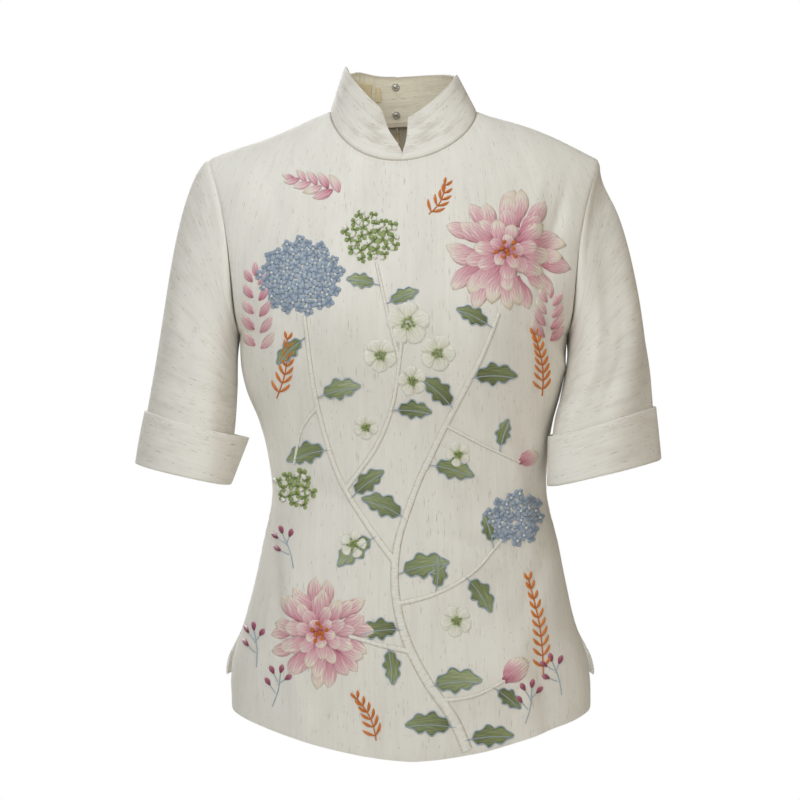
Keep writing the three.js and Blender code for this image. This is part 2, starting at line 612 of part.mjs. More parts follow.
function cuffGeometry(sleeve, angles) {
  const tube = (round, down) => {
    const p = tubePoint(sleeve, round, down);
    const across = tubePoint(sleeve, round + 0.5, down).sub(tubePoint(sleeve, round - 0.5, down));
    const fall = tubePoint(sleeve, round, down + 0.01).sub(p);
    const normal = across.cross(fall).normalize();
    if (normal.dot(p.clone().sub(tubePoint(sleeve, round + 180, down))) < 0) normal.negate();
    const length = lerp(HEAD_SHARE, 1, down);
    return { p: p.addScaledVector(normal, sleeveRelief(sleeve, round, length)), normal, fall };
  };
  const rings = angles.map((round) => {
    const inside = Math.pow(Math.max(0, -Math.cos(degToRad(round))), 1.5);
    const { fall } = tube(round, 1);
    const downPerMm = 0.01 / fall.length();
    return cuffSection(sleeve.name, inside).map(([out, height]) => {
      const at = tube(round, 1 - height * downPerMm);
      return at.p.addScaledVector(at.normal, out);
    });
  });
  const size = rings[0].length;
  const positions = rings.flat().flatMap((p) => p.toArray());
  const faces = [];
  rings.forEach((_, i) => {
    const next = (i + 1) % rings.length;
    for (let k = 0; k < size; k += 1) {
      const after = (k + 1) % size;
      const [a, b, c, d] = [i * size + k, next * size + k, next * size + after, i * size + after];
      faces.push(a, b, c, a, c, d);
    }
  });
  return closedGeometry(positions, faces);
}

// The neckline's edge, by column: 0 at the centre front and one more per step, to the centre back.
const BACK_COLUMN = 2 * NECK_COLUMNS;

function necklineAt(side, column) {
  const face = column <= NECK_COLUMNS ? "front" : "back";
  const fromCentre = column <= NECK_COLUMNS ? column : BACK_COLUMN - column;
  const share = (NECK_SHARE * fromCentre) / NECK_COLUMNS;
  const angle = (side * Math.asin(share) * 180) / Math.PI;
  const point = bodyPoint(face, angle, 1);
  if (column === NECK_COLUMNS) point.y = SHOULDER_Y;
  return { point, normal: bodyWallNormal(face, angle, 1) };
}

function necklineFrame(name, column) {
  const { side, lean } = COLLAR_HALVES[name];
  const low = necklineAt(side, Math.floor(column));
  const high = necklineAt(side, Math.ceil(column));
  const point = low.point.clone().lerp(high.point, column % 1);
  const normal = low.normal.clone().lerp(high.normal, column % 1).normalize();
  const before = necklineAt(side, Math.max(Math.ceil(column) - 1, 0)).point;
  const after = necklineAt(side, Math.min(Math.floor(column) + 1, BACK_COLUMN)).point;
  const run = after.sub(before).normalize();
  if (column === 0 || column === BACK_COLUMN) run.set(side * (column ? -1 : 1), 0, 0);
  const along = run.clone().cross(normal).normalize();
  if (along.z < 0) along.negate();
  normal.copy(along).cross(run).normalize();
  const turn = (column / BACK_COLUMN) * Math.PI;
  const radial = vec(side * Math.sin(turn) * NECK.reach, -Math.cos(turn) * NECK.halfWidth, 0);
  radial.normalize();
  if (normal.dot(radial) < 0) normal.negate();
  const tip = degToRad(lerp(lean, COLLAR.backLean, smoothstep(column, NECK_COLUMNS, BACK_COLUMN)));
  const leaves = vec(0, 0, Math.cos(tip)).addScaledVector(radial, -Math.sin(tip));
  leaves.addScaledVector(run, -leaves.dot(run)).normalize();
  const out = leaves.clone().cross(run).normalize();
  if (out.dot(radial) < 0) out.negate();
  return { point, along, normal, leaves, out };
}

function collarHeight(name, column, fromFront) {
  const { corner, cornerRound, rise } = COLLAR_HALVES[name];
  const round = fromFront < corner ? superEllipse(1 - fromFront / corner, cornerRound) : 1;
  const full = COLLAR.height + rise.by * bump((column - rise.at) / rise.width);
  return lerp(COLLAR.frontHeight, full, round);
}

// A point in the middle of the collar's cloth, so high above the neck seam.
function collarPoint(name, column, height) {
  const frame = necklineFrame(name, column);
  const p = seamStart(frame, COLLAR_CLOTH).addScaledVector(frame.leaves, height);
  p.x += COLLAR.sway * (height / COLLAR.height);
  return { p, out: frame.out };
}

function collarHalf(name) {
  const { side } = COLLAR_HALVES[name];
  const columns = [...COLLAR_FRONT_COLUMNS];
  for (let k = Math.ceil(columns[columns.length - 1]) + 1; k <= BACK_COLUMN; k += 1) columns.push(k);
  const seam = columns.map((column) => collarPoint(name, column, 0).p);
  const points = [];
  const normals = [];
  for (let i = 0; i <= COLLAR_ROWS; i += 1) {
    let walked = 0;
    const row = columns.map((column, j) => {
      walked += j ? seam[j].distanceTo(seam[j - 1]) : 0;
      return collarPoint(name, column, (collarHeight(name, column, walked) * i) / COLLAR_ROWS);
    });
    row[0].p.x += (side * COLLAR.endGap) / 2;
    row[row.length - 1].p.x += (side * COLLAR.endGap) / 2;
    points.push(row.map(({ p }) => p));
    normals.push(row.map(({ out }) => out));
  }
  return wall(points, normals, COLLAR_CLOTH);
}

// A patch sewn flat inside the collar's right half.
function collarPatch(patch) {
  const points = [];
  const normals = [];
  for (const height of [patch.low, patch.high]) {
    const row = Array.from({ length: PATCH_COLUMNS + 1 }, (_, j) =>
      collarPoint("right", lerp(patch.from, patch.to, j / PATCH_COLUMNS), height),
    );
    const inward = -(COLLAR_CLOTH / 2 + PATCH_GAP + patch.thickness / 2);
    points.push(row.map(({ p, out }) => p.addScaledVector(out, inward)));
    normals.push(row.map(({ out }) => out));
  }
  return wall(points, normals, patch.thickness);
}

// The zip's tapes lie inside the back, made from its points moved in.
function zipTape(side) {
  const points = [];
  const normals = [];
  for (let i = 0; i <= ZIP_ROWS; i += 1) {
    const z = lerp(ZIP.endZ, ZIP.topZ, i / ZIP_ROWS);
    const rise = backRiseAt(z);
    const normal = bodyNormal("back", 0, rise);
    const middle = bodyPoint("back", 0, rise);
    const inward = CLOTH / 2 + SEAM_GAP + ZIP.tape / 2;
    const near = Math.max(ZIP.coilRoom, backOpening(z) + SEAM_GAP);
    const row = [near, ZIP.tapeWidth / 2, ZIP.tapeWidth].map((x) => {
      const p = bodyPoint("back", (side * TAPE_ANGLE * x) / ZIP.tapeWidth, rise);
      p.x = middle.x + side * x;
      return p.addScaledVector(normal, -inward);
    });
    points.push(row);
    normals.push(row.map(() => normal.clone()));
  }
  return wall(points, normals, ZIP.tape);
}

// The share of the back panel's rise that lies at a given height at the centre back.
function backRiseAt(z) {
  const hem = hemZ("back", 0);
  if (z <= UNDERARM_Z) return (z - UNDERARM_Z) / (UNDERARM_Z - hem);
  return (z - UNDERARM_Z) / (topEdge("back", 0).z - UNDERARM_Z);
}

const piece = (name, geometry, look) => {
  const mesh = new THREE.Mesh(geometry, new THREE.MeshStandardMaterial(look));
  mesh.name = name;
  return mesh;
};

function addBody(top) {
  const half = halfAngles();
  const mirrored = half.slice(1).map((a) => -a).reverse();
  top.add(piece("front", bodyPanel("front", [...mirrored, ...half]), LINEN));
  top.add(piece("back_left", bodyPanel("back", half, 1), LINEN));
  top.add(piece("back_right", bodyPanel("back", [...mirrored, 0], -1), LINEN));
}

function addSleeves(top) {
  for (const sleeve of SLEEVES) {
    const length = tubePoint(sleeve, 90, 0).distanceTo(tubePoint(sleeve, 90, 1));
    const hemCut = 1 - (CUFF_CLOTH + SEAM_GAP) / length;
    const grid = sleeveGrid(sleeve, hemCut);
    top.add(piece(`sleeve_${sleeve.name}`, wall(grid.points, grid.normals, CLOTH, true), LINEN));
    top.add(piece(`cuff_${sleeve.name}`, cuffGeometry(sleeve, grid.angles), LINEN));
  }
}

function addCollar(top) {
  top.add(piece("collar_left", collarHalf("left"), LINEN));
  top.add(piece("collar_right", collarHalf("right"), LINEN));
  top.add(piece(LABEL.name, collarPatch(LABEL), LINING));
  top.add(piece(SIZE_TAB.name, collarPatch(SIZE_TAB), LINING));
}

// Press studs inside the collar, where its halves meet edge to edge at the centre back.
function addSnaps(top) {
  const { radius, thickness } = SNAP;
  const profile = [
    [0, 0],
    [radius, 0],
    [radius, thickness * 0.45],
    [radius * 0.8, thickness * 0.8],
    [radius * 0.55, thickness * 0.55],
    [radius * 0.42, thickness],
    [0, thickness],
  ].map(([x, y]) => new THREE.Vector2(x, y));
  SNAP.heights.forEach((height, i) => {
    const { p, out } = collarPoint("right", BACK_COLUMN, height);
    const geometry = new THREE.LatheGeometry(profile, SNAP_SIDES);
    const snap = piece(`snap_${i ? "lower" : "upper"}`, geometry, METAL);
    p.addScaledVector(out, -(COLLAR_CLOTH / 2 + SEAM_GAP + SNAP.clearance));
    p.x -= SNAP.aside;
    snap.position.copy(p);
    snap.quaternion.setFromUnitVectors(vec(0, 1, 0), out.clone().negate());
    top.add(snap);
  });
}

// Joins boxes into one solid. Each is given by its low and high corner.
function joined(boxes) {
  const parts = boxes.map(([low, high]) => {
    const [width, depth, height] = high.map((v, i) => v - low[i]);
    const [x, y, z] = high.map((v, i) => (v + low[i]) / 2);
    const box = new THREE.BoxGeometry(width, depth, height).translate(x, y, z);
    box.deleteAttribute("normal");
    box.deleteAttribute("uv");
    const { attributes, index } = mergeVertices(box);
    const vertProperties = attributes.position.array;
    const triVerts = new Uint32Array(index.array);
    return new solids.Manifold(new solids.Mesh({ numProp: 3, vertProperties, triVerts }));
  });
  const { vertProperties, triVerts } = parts.reduce((whole, part) => whole.add(part)).getMesh();
  const geometry = new THREE.BufferGeometry();
  geometry.setAttribute("position", new THREE.Float32BufferAttribute(vertProperties, 3));
  geometry.setIndex(Array.from(triVerts));
  return geometry;
}

// The slider: a plate outside the cloth with a bridge for the pull, a neck through the opening and
// a body inside. x is across the zip, y up along it and z out of the cloth.
function sliderGeometry() {
  const { width, length, plate, neckWidth, bodyWidth, body } = SLIDER;
  const { outside, inside } = SLIDER_CLEAR;
  const face = outside + plate;
  const roof = face + 2 * BRIDGE.clear + PULL.thickness;
  const posts = [-1, 1].map((end) => {
    const near = end * BRIDGE.halfSpan;
    const far = end * (BRIDGE.halfSpan + BRIDGE.post);
    return [
      [-BRIDGE.width / 2, Math.min(near, far), face - 0.2],
      [BRIDGE.width / 2, Math.max(near, far), roof + 0.1],
    ];
  });
  const reach = BRIDGE.halfSpan + BRIDGE.post;
  return joined([
    [[-width / 2, -length / 2, outside], [width / 2, length / 2, face]],
    [[-neckWidth / 2, -length / 4, -inside - 0.2], [neckWidth / 2, length / 2, outside + 0.2]],
    [[-bodyWidth / 2, -length / 2, -inside - body], [bodyWidth / 2, length / 2, -inside]],
    ...posts,
    [[-BRIDGE.width / 2, -reach, roof], [BRIDGE.width / 2, reach, roof + BRIDGE.roof]],
  ]);
}

// The pull hangs from its eye's upper bar, which lies under the slider's bridge.
function pullGeometry() {
  const { halfWidth, length, thickness, arm, eye, tip } = PULL;
  const bar = thickness / 2;
  const shape = new THREE.Shape();
  shape.moveTo(-halfWidth, bar);
  shape.lineTo(-halfWidth, -eye - 0.5);
  shape.lineTo(-halfWidth * tip, -eye - 3);
  shape.absarc(0, -length + halfWidth, halfWidth * 0.75, Math.PI, 2 * Math.PI, false);
  shape.lineTo(halfWidth * tip, -eye - 3);
  shape.lineTo(halfWidth, -eye - 0.5);
  shape.lineTo(halfWidth, bar);
  const hole = new THREE.Path();
  hole.moveTo(-halfWidth + arm, -bar);
  hole.lineTo(halfWidth - arm, -bar);
  hole.lineTo(halfWidth - arm, -eye);
  hole.lineTo(-halfWidth + arm, -eye);
  shape.holes.push(hole);
  const options = { depth: thickness, bevelEnabled: false, curveSegments: PULL_POINTS };
  return new THREE.ExtrudeGeometry(shape, options).translate(0, 0, -thickness / 2);
}

// The zip's frame at the slider: its middle on the cloth, up along the back and out of it.
function sliderFrame() {
  const rise = backRiseAt(SLIDER.z);
  const middle = bodyPoint("back", 0, rise);
  const out = bodyNormal("back", 0, rise).setX(0).normalize();
  const up = vec(1, 0, 0).cross(out);
  return { middle, out, up };
}

function addZip(top) {
  top.add(piece("zip_tape_left", zipTape(1), LINING));
  top.add(piece("zip_tape_right", zipTape(-1), LINING));
  const { middle, out, up } = sliderFrame();
  const turned = new THREE.Matrix4().makeBasis(vec(-1, 0, 0), up, out);
  const slider = piece("zip_slider", sliderGeometry(), METAL);
  const pull = piece("zip_pull", pullGeometry(), METAL);
  for (const mesh of [slider, pull]) {
    mesh.quaternion.setFromRotationMatrix(turned);
    mesh.position.copy(middle);
    top.add(mesh);
  }
  const hinge = SLIDER_CLEAR.outside + SLIDER.plate + BRIDGE.clear + PULL.thickness / 2;
  pull.position.addScaledVector(out, hinge);
}

const solids = await Module();
solids.setup();

const top = new THREE.Group();
addBody(top);
addSleeves(top);
addCollar(top);
addSnaps(top);
addZip(top);

export default top;
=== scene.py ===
"""A woman's fitted linen top with a stand collar, turned-back cuffs and an embroidered front."""

import math
from contextlib import contextmanager

import bmesh
import bpy
import numpy as np
from bpy.props import FloatProperty, FloatVectorProperty, IntProperty, PointerProperty
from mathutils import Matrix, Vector
from mathutils.bvhtree import BVHTree


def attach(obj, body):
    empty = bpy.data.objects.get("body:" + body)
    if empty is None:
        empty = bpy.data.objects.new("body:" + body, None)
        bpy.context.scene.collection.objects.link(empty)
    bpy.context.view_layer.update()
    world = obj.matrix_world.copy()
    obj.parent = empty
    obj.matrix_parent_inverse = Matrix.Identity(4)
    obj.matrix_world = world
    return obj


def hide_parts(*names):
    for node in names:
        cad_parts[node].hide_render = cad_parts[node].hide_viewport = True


bl_info = {
    "name": "Embroidered stand-collar top",
    "version": (1, 0, 0),
    "blender": (4, 5, 0),
    "location": "View3D > Sidebar > Top",
    "description": "Sews a fitted top: cloth panels, collar, cuffs, fastenings and raised embroidery",
    "category": "Add Mesh",
}

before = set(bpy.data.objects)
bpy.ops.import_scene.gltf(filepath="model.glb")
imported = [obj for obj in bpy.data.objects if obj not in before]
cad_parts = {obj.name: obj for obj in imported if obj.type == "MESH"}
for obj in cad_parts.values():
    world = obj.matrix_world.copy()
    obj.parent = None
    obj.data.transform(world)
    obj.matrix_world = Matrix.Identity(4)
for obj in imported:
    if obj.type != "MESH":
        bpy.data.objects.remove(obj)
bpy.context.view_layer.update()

MM = 0.001
MERGE = 1e-5
GARMENT = "garment"
MIDDLE = Vector((0, 0, -0.3))
COLLAR_MIDDLE = Vector((0, 0, 0.02))

# Cloth walls in millimetres, as the frame's solids have them where pieces are sewn together
CLOTH = 1.5
COLLAR_CLOTH = 2.2
CUFF_CLOTH = 2.0
SEAM_GAP = 0.3
# Reach of the painted seam shadow from a sewn edge
SEAM_SHADE_REACH = 2.6

# How seams, hem and turned edges show in the cloth, in millimetres
SEAM_ROLL = 1.1
EDGE_ROLL = 0.5
SEAM_ROOM = 4
HEM_STEP = 0.28
HEM_DIMPLE = 0.3
SLIT_TURNING = (9, 12)
# Wall of the cloth where it is turned in, as a share of the single cloth
DOUBLED = 1.5
# Shares of a solid wall that the collar's cloth and a tape take up
COLLAR_FULLNESS = 0.9
TAPE_FULLNESS = 0.8
TAPE_EDGE = 0.0002

# Body sections from the neck down, in millimetres
BODY_COLUMNS = ("z", "half_width", "front", "back", "centre", "front_bow", "back_bow")
BODY = [
    (20, 161, 102, 94, 0, 2.4, 2.4),
    (-60, 161, 108, 103, 0, 2.4, 2.4),
    (-140, 161, 117, 109, 0, 2.45, 2.4),
    (-200, 161.5, 123, 107, 0, 2.55, 2.4),
    (-250, 161, 121, 99, 0, 2.5, 2.4),
    (-280, 156, 115, 92.5, 0.5, 2.45, 2.4),
    (-310, 146, 107, 87, 2.5, 2.4, 2.4),
    (-345, 139, 101, 83, 4.5, 2.35, 2.35),
    (-385, 136.5, 99, 84, 6, 2.3, 2.3),
    (-430, 146, 105, 94, 7, 2.3, 2.3),
    (-475, 155, 112, 106, 6.5, 2.3, 2.3),
    (-512, 164.5, 116, 113, 6, 2.35, 2.3),
    (-550, 176, 119, 117, 6.5, 2.4, 2.35),
    (-590, 176.5, 120, 119, 7.5, 2.4, 2.4),
    (-640, 176, 120, 120, 7.5, 2.4, 2.4),
]
UNDERARM_Z = -225
SHOULDER_TIP = (195, -50)
SHOULDER_Y = 3
SHOULDER_ROUNDING = 3
SHOULDER_TILT = 3.5
NECK_HALF_WIDTH = 73
NECK_SIDE_Z = -2
NECK_TILT = 2
NECK_REACH = 66
NECK_DROP = {"front": 55, "back": 5}
NECK_SHIFT = {"front": -1.6, "back": -6.3}
NECK_ANGLE = 25
ARMHOLE_HOLLOW = 6.4
ARMHOLE_SCOOP = 0.125
ARMHOLE_SCOOP_RISE = 0.24
PROFILE = {"front": (1.7, 1.63), "back": (1.85, 3.6), "tip": (1.9, 1.9)}
NECK_CORNER_REACH = 42
NECK_CORNER_WIDTH = 0.15
HEM_CORNER = {"front": -593, "back": -567}
HEM_DROP = 39
HEM_CURVE = 1.55
SLIT_TOP_Z = -512
SLIT_PART = {"front": 12, "back": 22}
SLIT_FLARE = {"front": 0, "back": 8}
BUST = {"x": 88, "z": -212, "radius": 50, "reach": 7}

# Folds: x and z of the middle, half its length and width, lean in degrees and height
MAIN_FOLDS = {
    "front": [
        (-114, -500, 80, 17, 9, 4.5),
        (-80, -520, 74, 18, 14, -3),
        (138, -150, 62, 16, -6, -4),
        (92, -530, 80, 24, -38, 3.5),
        (52, -500, 70, 22, -42, -2.5),
    ],
    "back": [
        (-78, -395, 52, 20, 70, 3),
        (74, -382, 56, 20, -68, 3),
        (-98, -520, 72, 22, 8, 4),
        (92, -505, 80, 24, -6, 4),
    ],
}
CREASE_DEPTH = 1.6
SOFT_CREASES = {
    "front": [
        (-127, -478, 70, 7, 6, -2.0),
        (-103, -545, 44, 6, 16, -1.6),
        (-118, -300, 60, 9, 2, 1.4),
        (-106, -315, 66, 7, 4, -1.2),
        (126, -128, 46, 7, -8, 1.7),
        (150, -118, 40, 6, -14, -1.6),
        (112, -186, 44, 8, -4, -1.3),
        (147, -226, 26, 5, 34, -1.9),
        (137, -244, 30, 5, 52, 1.6),
        (60, -428, 44, 8, 74, -1.9),
        (118, -356, 60, 10, 6, -2.2),
        (104, -372, 56, 9, 14, 1.8),
        (128, -560, 60, 12, 10, -2.2),
        (110, -580, 56, 11, 6, 1.6),
        (-140, -430, 60, 9, 4, -2.2),
        (74, -448, 46, 7, 68, 1.5),
        (98, -404, 30, 6, 80, -1.3),
        (118, -470, 52, 9, -24, -1.5),
        (36, -575, 40, 11, -12, 1.3),
        (76, -592, 46, 13, 76, -1.5),
        (64, -618, 52, 10, 80, 1.4),
        (-20, -598, 42, 12, 10, -1.1),
        (-60, -390, 40, 9, 60, -1.0),
        (-34, -80, 40, 10, -28, -0.9),
        (60, -92, 46, 10, 24, -0.9),
        (-128, -90, 34, 8, 20, -1.0),
        (-90, -236, 40, 9, 40, -1.0),
    ],
    "back": [
        (-120, -180, 48, 7, 12, -1.8),
        (124, -168, 52, 7, -12, -1.9),
        (-60, -120, 60, 12, 30, -1.0),
        (62, -130, 60, 12, -28, -1.0),
        (-52, -418, 40, 7, 72, -1.7),
        (56, -406, 44, 7, -70, -1.7),
        (-100, -362, 34, 6, 60, 1.4),
        (102, -352, 34, 6, -62, 1.4),
        (-60, -540, 56, 10, 4, -1.4),
        (60, -532, 58, 10, -5, -1.4),
        (-128, -250, 30, 6, -40, -1.6),
        (130, -246, 30, 6, 42, -1.6),
    ],
}

SECTION_COLUMNS = ("z", "x", "y", "half_width", "half_depth", "turn", "rise")
SLEEVES = {
    "left": {
        "side": 1,
        "leaves_at_tip": -38,
        "sections": [
            (-262, 198.5, -24, 39.5, 60, 20, 0.45),
            (-306, 195.5, -38, 42, 59, 40, 0.3),
            (-361, 196.5, -49, 44, 60, 50, 0.235),
        ],
    },
    "right": {
        "side": -1,
        "leaves_at_tip": -8,
        "sections": [
            (-262, 205, -12, 39, 58, 14, 0.45),
            (-306, 210, -19, 41, 57, 20, 0.3),
            (-363, 217.5, -28, 42, 56, 26, 0.225),
        ],
    },
}
SLEEVE_LEAVES_UNDERARM = 158
SLEEVE_EASE = 2.2
HEAD_PULL_START = 0.5
HEAD_PULL_END = 0.8
HEAD_SHARE = 0.62
# Sleeve folds: side, place round the sleeve, half width, first and last share of length, depth
SLEEVE_FOLDS = [
    (1, 64, 24, 0.12, 1.0, -4),
    (1, 26, 22, 0.1, 0.95, 3),
    (1, 250, 26, 0.25, 0.95, -3),
    (-1, 128, 24, 0.4, 1.0, -2.5),
    (-1, 245, 26, 0.25, 0.9, -3),
    (1, 47, 8, 0.3, 0.98, -1.6),
    (1, 88, 9, 0.22, 0.9, 1.5),
    (1, 128, 10, 0.35, 0.95, -1.5),
    (1, 205, 12, 0.3, 0.9, 1.5),
    (-1, 96, 9, 0.55, 0.98, 1.2),
    (-1, 60, 14, 0.2, 0.8, -1.1),
    (-1, 205, 12, 0.35, 0.9, 1.5),
    (-1, 280, 10, 0.3, 0.85, 1.3),
    (1, 300, 12, 0.35, 0.98, -2.2),
    (1, 330, 10, 0.45, 0.98, 1.6),
]
SLEEVE_DENTS = [(1, 0, 48, 0.1, 0.08, -5)]
CUFF_HEIGHT = 50
CUFF_BOTTOM_STAND_OFF = 0.9
CUFF_TURN_UP = 7
CUFF_STAND_OFF = {"left": (0.9, 3), "right": (0.6, 14)}

COLLAR_HEIGHT = 47
COLLAR_FRONT_HEIGHT = 6
COLLAR_END_GAP = 0.5
COLLAR_BACK_GAP = 0.06
COLLAR_SEAM_ALLOWANCE = 4
COLLAR_BACK_LEAN = 12
COLLAR_SWAY = -1
COLLAR_HALVES = {
    "left": {"side": 1, "lean": 27, "corner": 27, "round": 1.15, "rise": (-6, 8, 3.5)},
    "right": {"side": -1, "lean": 19, "corner": 60, "round": 1.6, "rise": (5, 12.3, 2.4)},
}
# Gathers in the collar: step along the neck, half width in steps and depth
COLLAR_GATHERS = [(12.1, 0.16, -0.5), (13.2, 0.12, 0.4), (14.1, 0.14, -0.5), (9.2, 0.3, 0.5)]
NECK_STEPS = 8
BACK_STEP = 2 * NECK_STEPS

ZIP_END_Z = -402
ZIP_TOP_Z = -10
TAPE_WIDTH = 12
TAPE_THICK = 0.8
TAPE_ANGLE = 4.6
ZIP_HALF_GAP = 0.15
COIL_ROOM = 0.9
SLIDER_HALF_GAP = 1.1
SLIDER_REACH = 9
SLIDER_Z = -34
TOOTH = (2.2, 0.9, 0.8)
TOOTH_PITCH = 1.6
TOOTH_ASIDE = 0.75
TOOTH_DEPTH = 0.55
FIRST_TOOTH = 2
LAST_TOOTH = 4
SNAP_RADIUS = 4
SNAP_THICK = 1.7
SNAP_HEIGHTS = {"snap_upper": 37.5, "snap_lower": 9}
SNAP_CLEAR = 0.6
SNAP_ASIDE = 1
SNAP_STITCHES = 8
PATCH_GAP = 0.45
PATCH_THICK = 0.8
# Patches inside the collar: first and last step along the neck, low and high edge
PATCHES = {"neck_label": (11.8, 13.95, 15, 41), "size_tab": (14.4, 14.85, 23, 37.5)}

EDGE_RISES = (0, 0.03, 0.08, 0.15, 0.24, 0.34, 0.44, 0.54, 0.64, 0.73, 0.81, 0.88, 0.94, 0.98, 1)
NUDGE = 0.002


class ClothSettings(bpy.types.PropertyGroup):
    """Finish of the linen and its inside."""

    linen: FloatVectorProperty(
        name="Linen", description="Colour of the slubbed linen", subtype="COLOR",
        size=3, min=0, max=1, default=(0.875, 0.85, 0.785),
    )
    slub: FloatVectorProperty(
        name="Slub", description="Colour of the darker slubs", subtype="COLOR",
        size=3, min=0, max=1, default=(0.26, 0.17, 0.10),
    )
    inside: FloatVectorProperty(
        name="Collar inside", description="Colour of the cloth inside the collar", subtype="COLOR",
        size=3, min=0, max=1, default=(1.0, 0.93, 0.75),
    )
    wall: FloatProperty(
        name="Cloth", description="Thickness of the single cloth with its pressed seams",
        unit="LENGTH", min=0.0004, max=0.002, default=0.0011,
    )
    hem: FloatProperty(
        name="Hem", description="Depth of the turned-up hem", unit="LENGTH", default=0.030,
    )
    columns: IntProperty(
        name="Columns", description="Grid columns over half of the front", min=40, max=110, default=92,
    )


class ThreadSettings(bpy.types.PropertyGroup):
    """Relief of the embroidery."""

    lift: FloatProperty(
        name="Lift", description="Height of a satin-stitched petal above the cloth",
        unit="LENGTH", min=0.0002, max=0.003, default=0.0011,
    )
    stitch: FloatProperty(
        name="Stitch", description="Spacing of the stitches across a stem",
        unit="LENGTH", min=0.0004, max=0.004, default=0.0016,
    )


class StageSettings(bpy.types.PropertyGroup):
    """Camera, light and floor."""

    distance: FloatProperty(
        name="Distance", description="Camera distance from the middle of the garment",
        unit="LENGTH", default=2.2,
    )
    height: FloatProperty(name="Height", description="Camera height", unit="LENGTH", default=-0.29)
    aside: FloatProperty(name="Aside", description="Camera offset", unit="LENGTH", default=-0.0035)
    view_width: FloatProperty(
        name="View", description="Width seen at the garment's middle", unit="LENGTH", default=0.8,
    )
    floor: FloatProperty(name="Floor", description="Height of the floor", unit="LENGTH", default=-0.95)


# Working out the garment's form


def table(names, rows):
    """A short table as one array for each named column."""
    return {name: np.array([row[i] for row in rows], float) for i, name in enumerate(names)}


BODY_TABLE = table(BODY_COLUMNS, BODY)


def column_at(columns, name, z):
    """A smooth curve through one column of a table whose z falls from row to row."""
    heights = columns["z"]
    values = columns[name]
    count = len(heights)
    above = np.maximum(np.arange(count) - 1, 0)
    below = np.minimum(np.arange(count) + 1, count - 1)
    slope = (values[below] - values[above]) / (heights[below] - heights[above])
    z = np.asarray(z, float)
    row = (heights[1:-1] > z[..., None]).sum(-1)
    step = heights[row + 1] - heights[row]
    t = np.clip((z - heights[row]) / step, 0, 1)
    t2 = t * t
    t3 = t2 * t
    start = (2 * t3 - 3 * t2 + 1) * values[row] + (t3 - 2 * t2 + t) * step * slope[row]
    return start + (3 * t2 - 2 * t3) * values[row + 1] + (t3 - t2) * step * slope[row + 1]


def smoothstep(x, low, high):
    t = np.clip((np.asarray(x, float) - low) / (high - low), 0, 1)
    return t * t * (3 - 2 * t)


def lerp(a, b, t):
    return a + (b - a) * t


def bump(distance):
    return np.exp(-np.square(distance))


def super_ellipse(share, bow):
    return np.power(np.maximum(0, 1 - np.power(np.abs(share), bow)), 1 / bow)


def unit(vectors):
    length = np.linalg.norm(vectors, axis=-1, keepdims=True)
    return vectors / np.maximum(length, 1e-12)


def vec(x, y, z):
    return np.stack(np.broadcast_arrays(*(np.asarray(v, float) for v in (x, y, z))), -1)


def walked(points, axis=0):
    """The way walked along a line of points, or along each row or column of a grid of them."""
    steps = np.linalg.norm(np.diff(points, axis=axis), axis=-1)
    start = np.zeros_like(np.take(steps, [0], axis=axis))
    return np.concatenate([start, np.cumsum(steps, axis=axis)], axis=axis)


NECK_SHARE = math.sin(math.radians(NECK_ANGLE))


def shoulder_z(x):
    """Height of the shoulder seam, and between the neck's sides of the dome that would join them."""
    run = SHOULDER_TIP[0] - NECK_HALF_WIDTH
    slope = (SHOULDER_TIP[1] + SHOULDER_ROUNDING - NECK_SIDE_Z) / run
    out = (np.abs(x) - NECK_HALF_WIDTH) / run
    dome = NECK_SIDE_Z - slope * NECK_HALF_WIDTH * (1 - np.square(x / NECK_HALF_WIDTH)) / 2
    tilt = np.sign(x) * SHOULDER_TILT * np.square(np.sin(np.pi * np.clip(out, 0, 1)))
    seam = NECK_SIDE_Z + slope * run * out - SHOULDER_ROUNDING * np.maximum(out, 0) ** 4 + tilt
    return np.where(out < 0, dome, seam)


def armhole_hollow(rise):
    return ARMHOLE_HOLLOW * np.sin(np.pi * np.power(np.clip(rise, 0, 1), 1.35))


def shoulder_form(face, x, z):
    """Depth of the body above the underarm, at a distance from the middle and a height."""
    up = np.maximum(0, (z - UNDERARM_Z) / (SHOULDER_TIP[1] - UNDERARM_Z))
    underarm = column_at(BODY_TABLE, "half_width", UNDERARM_Z)
    armhole_x = lerp(underarm, SHOULDER_TIP[0], np.minimum(up, 1)) - armhole_hollow(up)
    near_edge = np.power(np.minimum(1, np.abs(x) / armhole_x), 4)
    scoop = ARMHOLE_SCOOP * (1 - np.exp(-up / ARMHOLE_SCOOP_RISE)) * near_edge
    share = x / (armhole_x * (1 + scoop))
    bow = column_at(BODY_TABLE, face + "_bow", z)
    depth = column_at(BODY_TABLE, face, z) * super_ellipse(share, bow)
    outer = smoothstep(np.abs(x), 10, 170)
    bend = lerp(PROFILE[face][0], PROFILE["tip"][0], outer)
    square = lerp(PROFILE[face][1], PROFILE["tip"][1], outer)
    climb = np.clip((z - UNDERARM_Z) / (shoulder_z(x) - UNDERARM_Z), 0, 1)
    close = np.power(np.maximum(0, 1 - np.power(climb, bend)), 1 / square)
    seam_y = SHOULDER_Y * smoothstep(climb, 0, 1)
    outward = -1 if face == "front" else 1
    return lerp(seam_y, outward * depth, close)


